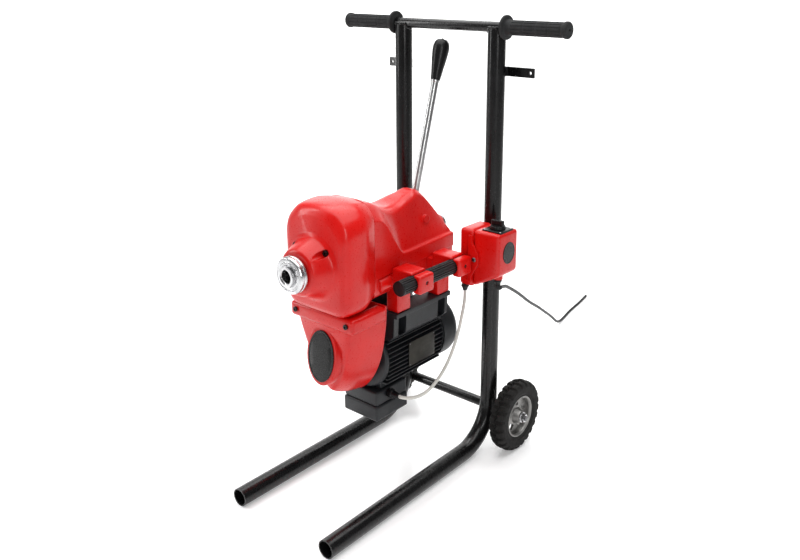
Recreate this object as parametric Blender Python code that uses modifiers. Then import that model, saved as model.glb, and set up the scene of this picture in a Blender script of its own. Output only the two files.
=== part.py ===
"""Sectional drain cleaning machine on a wheeled tube stand.

Metres, +Z up. The chuck points to -Y, the operator's handlebar is at the back. The parts are laid out
around the uprights: x = 0 is the middle plane, y = 0 the uprights' axes and z = 0 the floor. One empty,
stand_origin, then carries them all, so that the origin is under the centre of the machine.
"""
import bpy
import bmesh
from math import atan2, cos, pi, radians, sin, sqrt
from mathutils import Matrix, Vector

# ---- driving dimensions -------------------------------------------------------------------------
GAP = 0.0003                      # between pieces that touch

TUBE_R, TUBE_WALL = 0.019, 0.0025  # stand tube
HALF_SPAN = 0.126                 # upright axis from the middle plane
BEND_R = 0.100                    # centreline radius of the bend into the foot
FOOT_TIP_Y = -0.523
TOP_Z = 0.9525                    # top bar axis
BAR_R, BAR_WALL = 0.011, 0.002    # top bar and axle tube
BAR_HALF = 0.292
GRIP_IN, GRIP_OUT = 0.1455, 0.295  # grip ends, from the middle plane

AXLE_Y, WHEEL_R = 0.025, 0.0815
WHEEL_X, WHEEL_W = 0.182, 0.038   # wheel centre plane and tyre width
AXLE_R = 0.006
HOOK_Z = 0.8600

SUPPORT_Z, SUPPORT_R = 0.474, 0.0125   # support bars, in line with the uprights
SUPPORT_TIP_Y = -0.306
SLEEVE_R, SLEEVE_REAR_Y = 0.0155, -0.1010

AXIS_Z = 0.518                    # spindle axis, on the middle plane
SPINDLE_R, SPINDLE_TAIL_R, CABLE_R = 0.018, 0.015, 0.0125
NOSE_Y, NOSE_R = -0.477, 0.036
BELT_Y = -0.345                   # belt plane
BIG_PULLEY_R, SMALL_PULLEY_R = 0.068, 0.029
MOTOR_Z, MOTOR_CORE_R = 0.287, 0.060
FAN_COVER_R = 0.0725

BODY_FRONT_Y, BODY_REAR_Y = -0.318, -0.045
BODY_HALF_FRONT, BODY_HALF_REAR = 0.072, 0.054
BODY_LOW_Z, SEAM_Z, SHOULDER_Z = 0.440, 0.480, 0.510
WALL = 0.004
CLAMP_Y = ((-0.272, -0.228), (-0.146, -0.104))   # front and rear clamps
LEG_Y = ((-0.268, -0.228), (-0.140, -0.100))
LEG_X = (0.055, 0.086)
FOOT_Z = 0.398                    # the motor's feet meet the legs here
FOOT_BOLT_X = 0.0705

LEVER_LEAN, LEVER_SWING = radians(16.0), radians(45.0)
PIVOT_Y, PIVOT_Z = -0.1248, 0.556
YOKE_ARM = 0.039
KNOB_START, LEVER_LENGTH = 0.294, 0.384   # along the lever from its pivot

BOX_X, BOX_Y, BOX_TOP_Z = (0.108, 0.1435, 0.208), (-0.095, -0.024), 0.544
KNOB_X, KNOB_Y = 0.181, -0.0605

CABLE_D, CORD_D = 0.007, 0.008
CABLE_ROUTE = ((0.0752, -0.2540, 0.2060), (0.0815, -0.2537, 0.2058), (0.0930, -0.2440, 0.2040),
               (0.1040, -0.2250, 0.2045), (0.1120, -0.2020, 0.2120), (0.1170, -0.1760, 0.2290),
               (0.1195, -0.1500, 0.2540), (0.1200, -0.1270, 0.2850), (0.1195, -0.1090, 0.3190),
               (0.1190, -0.0960, 0.3530), (0.1185, -0.0880, 0.3800), (0.1180, -0.0860, 0.4035))
CORD_ROUTE = ((0.1720, -0.0420, 0.4162), (0.1720, -0.0418, 0.4122), (0.1695, -0.0310, 0.4045),
              (0.1620, -0.0130, 0.3990), (0.1510, 0.0130, 0.3900), (0.1355, 0.0508, 0.3740),
              (0.0985, 0.1537, 0.3185), (0.0630, 0.2524, 0.2605), (0.0390, 0.3200, 0.2225),
              (0.0147, 0.3868, 0.1865), (-0.0205, 0.4846, 0.1310), (-0.0451, 0.5530, 0.0920),
              (-0.0690, 0.6180, 0.0530), (-0.0860, 0.6650, 0.0250), (-0.0960, 0.6980, 0.0100),
              (-0.1040, 0.7350, 0.0046), (-0.1190, 0.8080, 0.0042), (-0.1300, 0.8850, 0.0042),
              (-0.1430, 0.9570, 0.0042))

ORIGIN_SHIFT_Y = -(FOOT_TIP_Y + AXLE_Y + WHEEL_R) / 2   # brings the origin under the centre

# name: colour, roughness, metallic
FINISHES = {
    "red_paint": ((0.62, 0.012, 0.012), 0.25, 0.0),
    "black_paint": ((0.012, 0.012, 0.013), 0.30, 0.0),
    "motor_grey": ((0.025, 0.028, 0.032), 0.50, 0.0),
    "bright_steel": ((0.62, 0.63, 0.64), 0.25, 1.0),
    "dark_steel": ((0.18, 0.18, 0.18), 0.45, 1.0),
    "rim_steel": ((0.35, 0.34, 0.32), 0.45, 1.0),
    "grip_rubber": ((0.020, 0.020, 0.022), 0.75, 0.0),
    "tyre_rubber": ((0.018, 0.018, 0.018), 0.85, 0.0),
    "black_plastic": ((0.012, 0.012, 0.013), 0.35, 0.0),
    "belt_rubber": ((0.02, 0.02, 0.02), 0.80, 0.0),
    "emblem_black": ((0.015, 0.015, 0.012), 0.30, 0.0),
    "white_cable": ((0.75, 0.75, 0.72), 0.40, 0.0),
}

ALONG = {"X": Matrix.Rotation(pi / 2, 4, "Y"), "Y": Matrix.Rotation(-pi / 2, 4, "X"), "Z": Matrix()}


# ---- scene and helpers --------------------------------------------------------------------------
for old in list(bpy.data.objects):
    bpy.data.objects.remove(old, do_unlink=True)

parts = bpy.data.collections.new("drain_snake_machine")
bpy.context.scene.collection.children.link(parts)
stand_origin = bpy.data.objects.new("stand_origin", None)
parts.objects.link(stand_origin)
stand_origin.location = (0, ORIGIN_SHIFT_Y, 0)


def finish_material(name):
    found = bpy.data.materials.get(name)
    if found:
        return found
    colour, roughness, metallic = FINISHES[name]
    made = bpy.data.materials.new(name)
    made.use_nodes = True
    shader = made.node_tree.nodes["Principled BSDF"]
    shader.inputs["Base Color"].default_value = (*colour, 1)
    shader.inputs["Roughness"].default_value = roughness
    shader.inputs["Metallic"].default_value = metallic
    made.diffuse_color = (*colour, 1)
    return made


def new_object(name, mesh):
    obj = bpy.data.objects.new(name, mesh)
    bpy.context.scene.collection.objects.link(obj)
    return obj


def outward(mesh):
    bm = bmesh.new()
    bm.from_mesh(mesh)
    bmesh.ops.recalc_face_normals(bm, faces=bm.faces)
    bm.to_mesh(mesh)
    bm.free()


def baked(obj, weld=0.0):
    """Turn an object with its modifiers, or a curve, into a plain mesh object."""
    bpy.context.view_layer.update()
    evaluated = obj.evaluated_get(bpy.context.evaluated_depsgraph_get())
    mesh = bpy.data.meshes.new_from_object(evaluated)
    if weld:
        bm = bmesh.new()
        bm.from_mesh(mesh)
        bmesh.ops.remove_doubles(bm, verts=bm.verts, dist=weld)
        bm.to_mesh(mesh)
        bm.free()
    outward(mesh)
    name, matrix = obj.name, obj.matrix_world.copy()
    bpy.data.objects.remove(obj, do_unlink=True)
    plain = new_object(name, mesh)
    plain.matrix_world = matrix
    return plain


def box(name, low, high, bevel=0.0, segments=2):
    """A box between two corners; bevel rounds all its edges."""
    mesh = bpy.data.meshes.new(name)
    bm = bmesh.new()
    bmesh.ops.create_cube(bm, size=1.0)
    size = [b - a for a, b in zip(low, high)]
    bmesh.ops.scale(bm, verts=bm.verts, vec=size)
    bmesh.ops.translate(bm, verts=bm.verts, vec=[(a + b) / 2 for a, b in zip(low, high)])
    bm.to_mesh(mesh)
    bm.free()
    obj = new_object(name, mesh)
    if bevel:
        rounding = obj.modifiers.new("rounding", "BEVEL")
        rounding.width = bevel
        rounding.segments = segments
        obj = baked(obj)
    return obj


def cylinder(name, axis, centre, start, end, radius, sides=20, radius_end=None):
    """A cylinder or cone along a row axis; centre holds the two other coordinates, in X, Y, Z order."""
    mesh = bpy.data.meshes.new(name)
    bm = bmesh.new()
    bmesh.ops.create_cone(bm, cap_ends=True, segments=sides, radius1=radius,
                          radius2=radius if radius_end is None else radius_end, depth=end - start)
    bmesh.ops.translate(bm, verts=bm.verts, vec=(0, 0, (start + end) / 2))
    bmesh.ops.transform(bm, matrix=ALONG[axis], verts=bm.verts)
    place = list(centre)
    place.insert("XYZ".index(axis), 0.0)
    bmesh.ops.translate(bm, verts=bm.verts, vec=place)
    bm.to_mesh(mesh)
    bm.free()
    outward(mesh)
    return new_object(name, mesh)


def turned(name, axis, centre, profile, sides=20):
    """A turned piece: profile is a closed loop of (radius, place along the axis)."""
    mesh = bpy.data.meshes.new(name)
    bm = bmesh.new()
    verts = [bm.verts.new((radius, 0, along)) for radius, along in profile]
    for first, second in zip(verts, verts[1:]):
        bm.edges.new((first, second))
    if profile[0][0] > 0 or profile[-1][0] > 0:
        bm.edges.new((verts[-1], verts[0]))
    bm.to_mesh(mesh)
    bm.free()
    obj = new_object(name, mesh)
    screw = obj.modifiers.new("turning", "SCREW")
    screw.axis = "Z"
    screw.steps = screw.render_steps = sides
    screw.use_merge_vertices = True
    screw.merge_threshold = 0.00001
    obj = baked(obj, 0.00001)
    place = list(centre)
    place.insert("XYZ".index(axis), 0.0)
    obj.data.transform(Matrix.Translation(place) @ ALONG[axis])
    return obj


def ring(name, axis, centre, start, end, inner, outer, sides=20):
    return turned(name, axis, centre, [(outer, end), (outer, start), (inner, start), (inner, end)], sides)


def tube(name, route, radius, resolution=3):
    """A round bar along a list of points, with closed ends."""
    curve = bpy.data.curves.new(name, "CURVE")
    curve.dimensions = "3D"
    curve.bevel_depth = radius
    curve.bevel_resolution = resolution
    curve.use_fill_caps = True
    spline = curve.splines.new("POLY")
    spline.points.add(len(route) - 1)
    for point, place in zip(spline.points, route):
        point.co = (*place, 1)
    return baked(new_object(name, curve), 0.00001)


def plate(name, outline, thickness, place):
    """A flat outline in its own XY plane, thickness to both sides of it, moved by the matrix place."""
    curve = bpy.data.curves.new(name, "CURVE")
    curve.dimensions = "2D"
    curve.fill_mode = "BOTH"
    curve.extrude = thickness / 2
    spline = curve.splines.new("POLY")
    spline.points.add(len(outline) - 1)
    for point, (u, v) in zip(spline.points, outline):
        point.co = (u, v, 0, 1)
    spline.use_cyclic_u = True
    obj = baked(new_object(name, curve), 0.00001)
    obj.data.transform(place)
    return obj


def profile_along_y(name, outline, y0, y1):
    """An XZ outline drawn out along Y."""
    place = Matrix.Translation((0, (y0 + y1) / 2, 0)) @ Matrix.Rotation(pi / 2, 4, "X")
    return plate(name, outline, y1 - y0, place)


def loft(name, rings):
    """A closed body through rings of equal point counts; the first and last are capped."""
    mesh = bpy.data.meshes.new(name)
    bm = bmesh.new()
    rows = [[bm.verts.new(point) for point in one] for one in rings]
    for row, following in zip(rows, rows[1:]):
        for i in range(len(row)):
            j = (i + 1) % len(row)
            bm.faces.new((row[i], row[j], following[j], following[i]))
    bm.faces.new(rows[0])
    bm.faces.new(rows[-1])
    bmesh.ops.triangulate(bm, faces=bm.faces)
    bm.to_mesh(mesh)
    bm.free()
    outward(mesh)
    return new_object(name, mesh)


def is_closed(mesh):
    bm = bmesh.new()
    bm.from_mesh(mesh)
    closed = all(len(edge.link_faces) == 2 for edge in bm.edges)
    bm.free()
    return closed


def combined(obj, others, operation):
    """Join or cut; the other shapes are used up. MANIFOLD stands in where EXACT leaves a gap."""
    for other in others:
        step = obj.modifiers.new("step", "BOOLEAN")
        step.operation = operation
        step.object = other
        for solver in ("EXACT", "MANIFOLD"):
            step.solver = solver
            bpy.context.view_layer.update()
            evaluated = obj.evaluated_get(bpy.context.evaluated_depsgraph_get())
            mesh = bpy.data.meshes.new_from_object(evaluated)
            if is_closed(mesh):
                break
        obj.modifiers.clear()
        obj.data = mesh
        bpy.data.objects.remove(other, do_unlink=True)
    outward(obj.data)
    return obj


def cut(obj, *others):
    return combined(obj, others, "DIFFERENCE")


def join(obj, *others):
    return combined(obj, others, "UNION")


def mirrored(obj, name):
    """A copy on the other side of the middle plane."""
    mesh = obj.data.copy()
    mesh.transform(Matrix.Scale(-1, 4, (1, 0, 0)))
    outward(mesh)
    return new_object(name, mesh)


def done(obj, name, finish, origin=(0, 0, 0)):
    """Name a finished part, give it its finish and put its origin on its joint axis."""
    obj.name = obj.data.name = name
    obj.data.transform(Matrix.Translation([-v for v in origin]))
    obj.data.materials.clear()
    obj.data.materials.append(finish_material(finish))
    obj.data.shade_smooth()
    obj.data.set_sharp_from_angle(angle=radians(35))
    for collection in obj.users_collection:
        collection.objects.unlink(obj)
    parts.objects.link(obj)
    obj.parent = stand_origin
    obj.location = origin
    return obj


def pair(obj, stem, finish, origin=(0, 0, 0)):
    """The right-hand piece and its mirror image on the left."""
    left = mirrored(obj, stem + "_left")
    done(left, stem + "_left", finish, (-origin[0], origin[1], origin[2]))
    return done(obj, stem + "_right", finish, origin)


def arc(centre, radius, start, end, steps):
    """Points on an arc: centre and points are (u, v), angles in degrees."""
    angles = [radians(start + (end - start) * i / steps) for i in range(steps + 1)]
    return [(centre[0] + radius * cos(a), centre[1] + radius * sin(a)) for a in angles]


def smooth_route(points, spacing):
    """Points every spacing along a Catmull-Rom curve through the route's own points; the first stays."""
    points = [Vector(p) for p in points]
    ends = [2 * points[0] - points[1], *points, 2 * points[-1] - points[-2]]
    dense = []
    for a, b, c, d in zip(ends, ends[1:], ends[2:], ends[3:]):
        for i in range(24):
            t = i / 24
            dense.append(0.5 * (2 * b + (c - a) * t + (2 * a - 5 * b + 4 * c - d) * t * t
                                + (3 * b - a - 3 * c + d) * t ** 3))
    dense.append(points[-1])
    length = sum((q - p).length for p, q in zip(dense, dense[1:]))
    count = max(2, round(length / spacing))
    route, run, target = [dense[0], points[1]], 0.0, length / count
    for p, q in zip(dense, dense[1:]):
        run += (q - p).length
        if run >= target * (len(route) - 0.5) and len(route) < count:
            route.append(q)
    route.append(dense[-1])
    return route


# ---- the stand ----------------------------------------------------------------------------------
def stand_tube():
    """Upright, bend and foot in one bent tube, open at the foot's tip and coped under the top bar."""
    bend = arc((-BEND_R, TUBE_R + BEND_R), BEND_R, -90, 0, 6)
    inner_top = TOP_Z
    outer = [(HALF_SPAN, FOOT_TIP_Y, TUBE_R)] + [(HALF_SPAN, y, z) for y, z in bend]
    outer.append((HALF_SPAN, 0, TOP_Z))
    inner = [(HALF_SPAN, FOOT_TIP_Y - 0.01, TUBE_R)] + outer[1:-1] + [(HALF_SPAN, 0, inner_top + 0.01)]
    body = tube("stand_tube", outer, TUBE_R, 4)
    bore = tube("bore", inner, TUBE_R - TUBE_WALL, 4)
    cope = cylinder("cope", "X", (0, TOP_Z), 0.08, 0.18, BAR_R + GAP, 20)
    return cut(body, bore, cope)


def grip():
    """Rubber grip with a thumb flange and a closed end; it slides over the top bar's end."""
    bore = BAR_R + GAP
    profile = [(0, GRIP_OUT), (0.0145, GRIP_OUT), (0.017, GRIP_OUT - 0.003), (0.017, GRIP_OUT - 0.007),
               (0.0152, GRIP_OUT - 0.012), (0.0152, GRIP_IN + 0.018), (0.0165, GRIP_IN + 0.008),
               (0.025, GRIP_IN + 0.006), (0.025, GRIP_IN + 0.001), (0.0235, GRIP_IN), (bore, GRIP_IN),
               (bore, BAR_HALF + GAP), (0, BAR_HALF + GAP)]
    return turned("grip", "X", (0, TOP_Z), profile, 16)


def cable_hook():
    """Flat strip welded behind the upright: back, round a bend and outward, with a hole near its end."""
    thickness, half_height = 0.004, 0.010
    y0, y1 = TUBE_R - 0.0015, 0.036
    strip = box("strip", (0.128, y0, HOOK_Z - half_height), (0.132, y1, HOOK_Z + half_height))
    arm = box("arm", (0.128, y1 - thickness, HOOK_Z - half_height), (0.198, y1, HOOK_Z + half_height))
    hole = cylinder("hole", "Y", (0.189, HOOK_Z), y0, y1 + 0.01, 0.0032, 16)
    return cut(join(strip, arm), hole)


def build_stand():
    pair(join(stand_tube(), cable_hook()), "frame_tube", "black_paint")
    done(ring("bar", "X", (0, TOP_Z), -BAR_HALF, BAR_HALF, BAR_R - BAR_WALL, BAR_R, 16),
         "top_bar", "black_paint")
    pair(grip(), "grip", "grip_rubber")
    end, bore, neck = 0.1625, AXLE_R + 0.001, 0.0092
    outline = [(neck, end), (neck, 0.150), (BAR_R, 0.150), (BAR_R, -0.150), (neck, -0.150),
               (neck, -end), (bore, -end), (bore, end)]
    done(turned("tube", "X", (AXLE_Y, WHEEL_R), outline, 16), "axle_tube", "black_paint")
    done(cylinder("rod", "X", (AXLE_Y, WHEEL_R), -0.214, 0.214, AXLE_R, 16), "axle_rod", "dark_steel")
    bar = ring("bar", "Y", (HALF_SPAN, SUPPORT_Z), SUPPORT_TIP_Y, -0.0135,
               SUPPORT_R - TUBE_WALL, SUPPORT_R, 16)
    saddle = cylinder("saddle", "Z", (HALF_SPAN, 0), SUPPORT_Z - 0.03, SUPPORT_Z + 0.03, TUBE_R + GAP, 20)
    pair(cut(bar, saddle), "support_bar", "black_paint")
    bore = SUPPORT_R + GAP
    sleeve = [(0, SUPPORT_TIP_Y - 0.005), (SLEEVE_R - 0.001, SUPPORT_TIP_Y - 0.005),
              (SLEEVE_R, SUPPORT_TIP_Y - 0.004), (SLEEVE_R, SLEEVE_REAR_Y), (bore, SLEEVE_REAR_Y),
              (bore, SUPPORT_TIP_Y - GAP), (0, SUPPORT_TIP_Y - GAP)]
    pair(turned("sleeve", "Y", (HALF_SPAN, SUPPORT_Z), sleeve, 16), "bar_sleeve", "grip_rubber")


# ---- the wheels ---------------------------------------------------------------------------------
def rim():
    """Pressed steel rim with a flat web, five windows and a hub barrel bored for the axle."""
    x0, half = WHEEL_X, WHEEL_W / 2
    bore = AXLE_R + 0.0002
    profile = [(0.0480, half - 0.003), (0.0480, -half + 0.003), (0.0450, -half + 0.003),
               (0.0420, -half + 0.008), (0.0420, -0.002), (0.0140, -0.002), (0.0130, -half),
               (bore, -half), (bore, half), (0.0130, half), (0.0140, 0.002), (0.0420, 0.002),
               (0.0420, half - 0.008), (0.0450, half - 0.003)]
    body = turned("rim", "X", (AXLE_Y, WHEEL_R), [(r, x0 + t) for r, t in profile], 24)
    windows = []
    for i in range(5):
        window = box("window", (x0 - 0.01, -0.0075, 0.0215), (x0 + 0.01, 0.0075, 0.0355))
        turn = Matrix.Translation((0, AXLE_Y, WHEEL_R)) @ Matrix.Rotation(2 * pi * i / 5, 4, "X")
        window.data.transform(turn)
        windows.append(window)
    return cut(body, *windows)


def build_wheels():
    centre, axle = (AXLE_Y, WHEEL_R), (WHEEL_X, AXLE_Y, WHEEL_R)
    half = WHEEL_W / 2
    seat = 0.0480 + GAP
    profile = [(WHEEL_R - 0.002, half - 0.005), (WHEEL_R, half - 0.010), (WHEEL_R, -half + 0.010),
               (WHEEL_R - 0.002, -half + 0.005), (0.070, -half), (0.052, -half), (seat, -half + 0.003),
               (seat, half - 0.003), (0.052, half), (0.070, half)]
    tyre = turned("tyre", "X", centre, [(r, WHEEL_X + t) for r, t in profile], 24)
    pair(tyre, "tyre", "tyre_rubber", axle)
    pair(rim(), "rim", "rim_steel", axle)
    flange = cylinder("flange", "X", centre, 0.2015, 0.2040, 0.0120, 20)
    hexagon = cylinder("hexagon", "X", centre, 0.2035, 0.2110, 0.0100, 6)
    bore = cylinder("bore", "X", centre, 0.19, 0.22, AXLE_R + GAP, 20)
    pair(cut(join(flange, hexagon), bore), "axle_nut", "bright_steel")


# ---- the machine head ---------------------------------------------------------------------------
def body_half(y):
    """Half width of the lower body at y; it tapers towards the back."""
    t = (y - BODY_FRONT_Y) / (BODY_REAR_Y - BODY_FRONT_Y)
    return BODY_HALF_FRONT + (BODY_HALF_REAR - BODY_HALF_FRONT) * t


# the hump: y, shoulder height, hump half width at the shoulder, crest half width, crest height
HUMP = ((-0.318, 0.600, 0.0715, 0.0500, 0.634), (-0.285, 0.588, 0.0690, 0.0480, 0.622),
        (-0.255, 0.548, 0.0640, 0.0460, 0.606), (-0.230, 0.516, 0.0600, 0.0430, 0.599),
        (-0.205, 0.510, 0.0570, 0.0390, 0.600), (-0.160, 0.510, 0.0530, 0.0310, 0.609),
        (-0.116, 0.510, 0.0500, 0.0250, 0.608), (-0.045, 0.510, 0.0460, 0.0420, 0.522))


def hump_ring(y, shoulder, base, crest, top, inset, low):
    """One cross section of the top cover, or of its hollow when inset is the wall."""
    side = min(body_half(y), 0.072) - inset
    half = [(side, low), (side, shoulder - inset), (base - inset, shoulder + 0.0015 - inset),
            (crest - 0.6 * inset, top - 0.006 - inset), (crest - 0.008 - 0.4 * inset, top - inset),
            (0.5 * crest, top + 0.003 - inset)]
    points = half + [(-x, z) for x, z in reversed(half)]
    return [(x, y, z) for x, z in points]


def top_cover():
    """Rear cover: shoulders, the hump with the lever slot and the boss round the spindle's end."""
    outer = loft("top_cover", [hump_ring(*row, 0.0, SEAM_Z + GAP) for row in HUMP])
    front, rear = HUMP[0], HUMP[-1]
    rows = [(front[0] - 0.01, *front[1:])] + list(HUMP[1:-1])
    rows.append((rear[0] - 0.005, rear[1], rear[2], rear[3], rear[4] + 0.004))
    hollow = loft("hollow", [hump_ring(*row, WALL, SEAM_Z - 0.01) for row in rows])
    boss = cylinder("boss", "Y", (0, AXIS_Z), -0.0740, -0.0340, 0.0216, 28)
    bosses = [cylinder("pin_boss", "X", (PIVOT_Y, PIVOT_Z), side * 0.0375 - 0.0065, side * 0.0375 + 0.0065,
                       0.009, 16) for side in (-1, 1)]
    slot = box("slot", (-0.011, -0.1225, AXIS_Z + 0.0235), (0.011, -0.02, 0.64))
    shell = join(cut(outer, hollow, slot), boss, *bosses)
    bore = cylinder("bore", "Y", (0, AXIS_Z), -0.09, -0.02, SPINDLE_TAIL_R + 0.0006, 20)
    pin_hole = cylinder("pin_hole", "X", (PIVOT_Y, PIVOT_Z), -0.0398, 0.0398, 0.005 + GAP, 16)
    return cut(shell, bore, pin_hole)


def main_body():
    """Lower casting: trough, clamp arms, four legs for the motor and the rear bearing pedestal."""
    def trough_ring(y, inset, low, high):
        half = body_half(y) - 0.003 - inset
        return [(half, y, high), (half, y, low + 0.006), (half - 0.006, y, low),
                (-half + 0.006, y, low), (-half, y, low + 0.006), (-half, y, high)]
    outer = loft("main_body", [trough_ring(BODY_FRONT_Y, 0, BODY_LOW_Z, SEAM_Z - GAP),
                               trough_ring(BODY_REAR_Y, 0, BODY_LOW_Z, SEAM_Z - GAP)])
    hollow = loft("hollow", [trough_ring(BODY_FRONT_Y - 0.01, 0.005, BODY_LOW_Z + 0.006, SEAM_Z + 0.01),
                             trough_ring(BODY_REAR_Y - 0.006, 0.005, BODY_LOW_Z + 0.006, SEAM_Z + 0.01)])
    body = cut(outer, hollow)
    added = []
    for side in (-1, 1):
        def span(a, b):
            return sorted((side * a, side * b))
        for (y0, y1), (leg0, leg1) in zip(CLAMP_Y, LEG_Y):
            x0, x1 = span(0.0735, HALF_SPAN - GAP)
            added.append(box("arm", (x0, y0, SUPPORT_Z - 0.0205), (x1, y1, SUPPORT_Z + 0.0205), 0.003, 1))
            x0, x1 = span(0.058, 0.0790)
            added.append(box("root", (x0, y0 + 0.001, SUPPORT_Z - 0.019), (x1, y1 - 0.001, SEAM_Z - 0.0005)))
            x0, x1 = span(*LEG_X)
            added.append(box("leg", (x0, leg0, FOOT_Z + GAP), (x1, leg1, SUPPORT_Z - 0.012)))
        added.append(cylinder("rail", "Y", (side * 0.0615, 0.4625), -0.304, -0.205, 0.0155, 16))
    added.append(cylinder("pedestal", "Y", (0, AXIS_Z), -0.098, -0.084, 0.036, 20))
    added.append(box("web", (-0.026, -0.098, BODY_LOW_Z + 0.003), (0.026, -0.084, AXIS_Z - 0.02)))
    body = join(body, *added)
    cuts = [cylinder("seat", "Y", (0, AXIS_Z), -0.11, -0.07, 0.030 + GAP, 32)]
    for side in (-1, 1):
        cuts.append(cylinder("bar_bore", "Y", (side * HALF_SPAN, SUPPORT_Z), -0.30, -0.09,
                             SLEEVE_R + GAP, 20))
        for y in foot_bolt_places():
            cuts.append(cylinder("bolt_hole", "Z", (side * FOOT_BOLT_X, y), 0.39, 0.4262, 0.0044, 8))
    return cut(body, *cuts)


def foot_bolt_places():
    return [(y0 + y1) / 2 for y0, y1 in LEG_Y]


def clamp_cap(side, y0, y1):
    """Outer half of a clamp, with a hole for its set screw."""
    x0, x1 = sorted((side * (HALF_SPAN + GAP + 0.001), side * (HALF_SPAN + 0.0215)))
    cap = box("cap", (x0, y0, SUPPORT_Z - 0.0205), (x1, y1, SUPPORT_Z + 0.0175), 0.004, 2)
    bore = cylinder("bore", "Y", (side * HALF_SPAN, SUPPORT_Z), y0 - 0.01, y1 + 0.01, SLEEVE_R + GAP, 20)
    hole0, hole1 = sorted((side * (HALF_SPAN + 0.0185), side * 0.16))
    hole = cylinder("hole", "X", ((y0 + y1) / 2, SUPPORT_Z), hole0, hole1, 0.0043, 16)
    return cut(cap, bore, hole)


def bulb_ring(y, half, low, foot_half, side_low, side_high, crest, top, inset=0.0):
    """One cross section of the front cover."""
    i = inset
    side = [(foot_half - i, low + i), (half - 0.004 - i, low + 0.018), (half - i, side_low),
            (half - i, side_high - 0.4 * i), (half - 0.006 - i, side_high + 0.012 - 0.6 * i),
            (crest - 0.6 * i, top - 0.006 - i), (crest - 0.010 - 0.4 * i, top - i),
            (0.4 * crest, top + 0.003 - i)]
    points = side + [(-x, z) for x, z in reversed(side)]
    return [(x, y, z) for x, z in points]


BULB = ((BODY_FRONT_Y - GAP, 0.072, 0.440, 0.0600, 0.478, 0.600, 0.050, 0.634),
        (-0.336, 0.0790, 0.4300, 0.0730, 0.474, 0.600, 0.054, 0.638),
        (-0.358, 0.0855, 0.4250, 0.0780, 0.468, 0.598, 0.056, 0.640),
        (-0.394, 0.0850, 0.4250, 0.0770, 0.468, 0.594, 0.052, 0.637),
        (-0.407, 0.0790, 0.4290, 0.0700, 0.470, 0.586, 0.046, 0.629),
        (-0.413, 0.0690, 0.4380, 0.0600, 0.476, 0.574, 0.038, 0.616))


def front_cover():
    """The bulb over the big pulley, with the snout that carries the front bearing."""
    outer = loft("front_cover", [bulb_ring(*row) for row in BULB])
    rows = [(BULB[0][0] + 0.01, *BULB[0][1:])] + list(BULB[1:4])
    rows.append((-0.399, *BULB[4][1:]))
    hollow = loft("hollow", [bulb_ring(*row, inset=0.005) for row in rows])
    snout = [(0, -0.4565), (0.0400, -0.4565), (0.0435, -0.4545), (0.0470, -0.4500), (0.0505, -0.4430),
             (0.0550, -0.4340), (0.0590, -0.4250), (0.0620, -0.4120), (0.0620, -0.4020), (0, -0.4020)]
    shell = cut(join(outer, turned("snout", "Y", (0, AXIS_Z), snout, 20)), hollow)
    cuts = [cylinder("bore", "Y", (0, AXIS_Z), -0.47, -0.39, 0.0200, 20),
            cylinder("seat", "Y", (0, AXIS_Z), -0.446, -0.39, 0.0310 + GAP, 20),
            box("belt_way", (-0.064, -0.372, 0.41), (0.064, BODY_FRONT_Y + 0.01, 0.45))]
    for side in (-1, 1):
        cuts.append(cylinder("pocket", "Y", (side * 0.041, AXIS_Z + 0.038), -0.47, -0.4165, 0.0075, 20))
    return cut(shell, *cuts)


def belt_half(t, top_half, power):
    """Half width of the belt case at the fraction t of its height below the flange."""
    return top_half * (1 - t ** power) ** 0.6


def belt_ring(y, rake, top_half, bottom, power, top=0.3945, steps=9):
    """A tapered U outline; rake moves the lower points back, in metres for each metre down."""
    half = []
    for i in range(steps + 1):
        t = sin(pi / 2 * i / steps)
        z = top - (top - bottom) * t
        half.append((max(belt_half(t, top_half, power), 0.0), y + rake * (top - z), z))
    return half + [(-x, yy, z) for x, yy, z in reversed(half[:-1])]


def belt_cover():
    """Lower belt case: a raked tapered tub with a screw flange and a raised oval pad."""
    rake = 0.115
    tub = loft("belt_cover", [belt_ring(-0.3025, 0, 0.0830, 0.222, 2.0),
                              belt_ring(-0.350, 0.03, 0.0790, 0.230, 1.6),
                              belt_ring(-0.384, 0.08, 0.0720, 0.243, 1.30),
                              belt_ring(-0.392, 0.105, 0.0680, 0.251, 1.20),
                              belt_ring(-0.395, rake, 0.0620, 0.259, 1.15)])
    hollow = loft("hollow", [belt_ring(-0.29, 0, 0.0785, 0.2265, 2.0, 0.41),
                             belt_ring(-0.350, 0.03, 0.0745, 0.235, 1.6, 0.41),
                             belt_ring(-0.3885, rake, 0.0620, 0.260, 1.20, 0.41)])
    flange = box("flange", (-0.087, -0.399, 0.394), (0.087, -0.3025, 0.4245), 0.006, 2)
    top_way = box("way", (-0.066, -0.386, 0.38), (0.066, -0.29, 0.43))
    pad = emblem_outline(0.042, 0.061)
    raised = plate("pad", pad, 0.016, emblem_place(0.0015))
    return cut(join(tub, flange, raised), hollow, top_way)


def emblem_outline(half_u, half_v, steps=32):
    return [(half_u * cos(2 * pi * i / steps), half_v * sin(2 * pi * i / steps)) for i in range(steps)]


def emblem_place(depth):
    """Where the oval sits on the raked front; depth is measured back from the pad's face."""
    rake_angle = radians(6.6)
    centre = Vector((0, -0.3935, 0.3280))
    turn = Matrix.Rotation(pi / 2 - rake_angle, 4, "X")
    normal = turn @ Vector((0, 0, 1))
    return Matrix.Translation(centre + normal * (-depth)) @ turn


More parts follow.
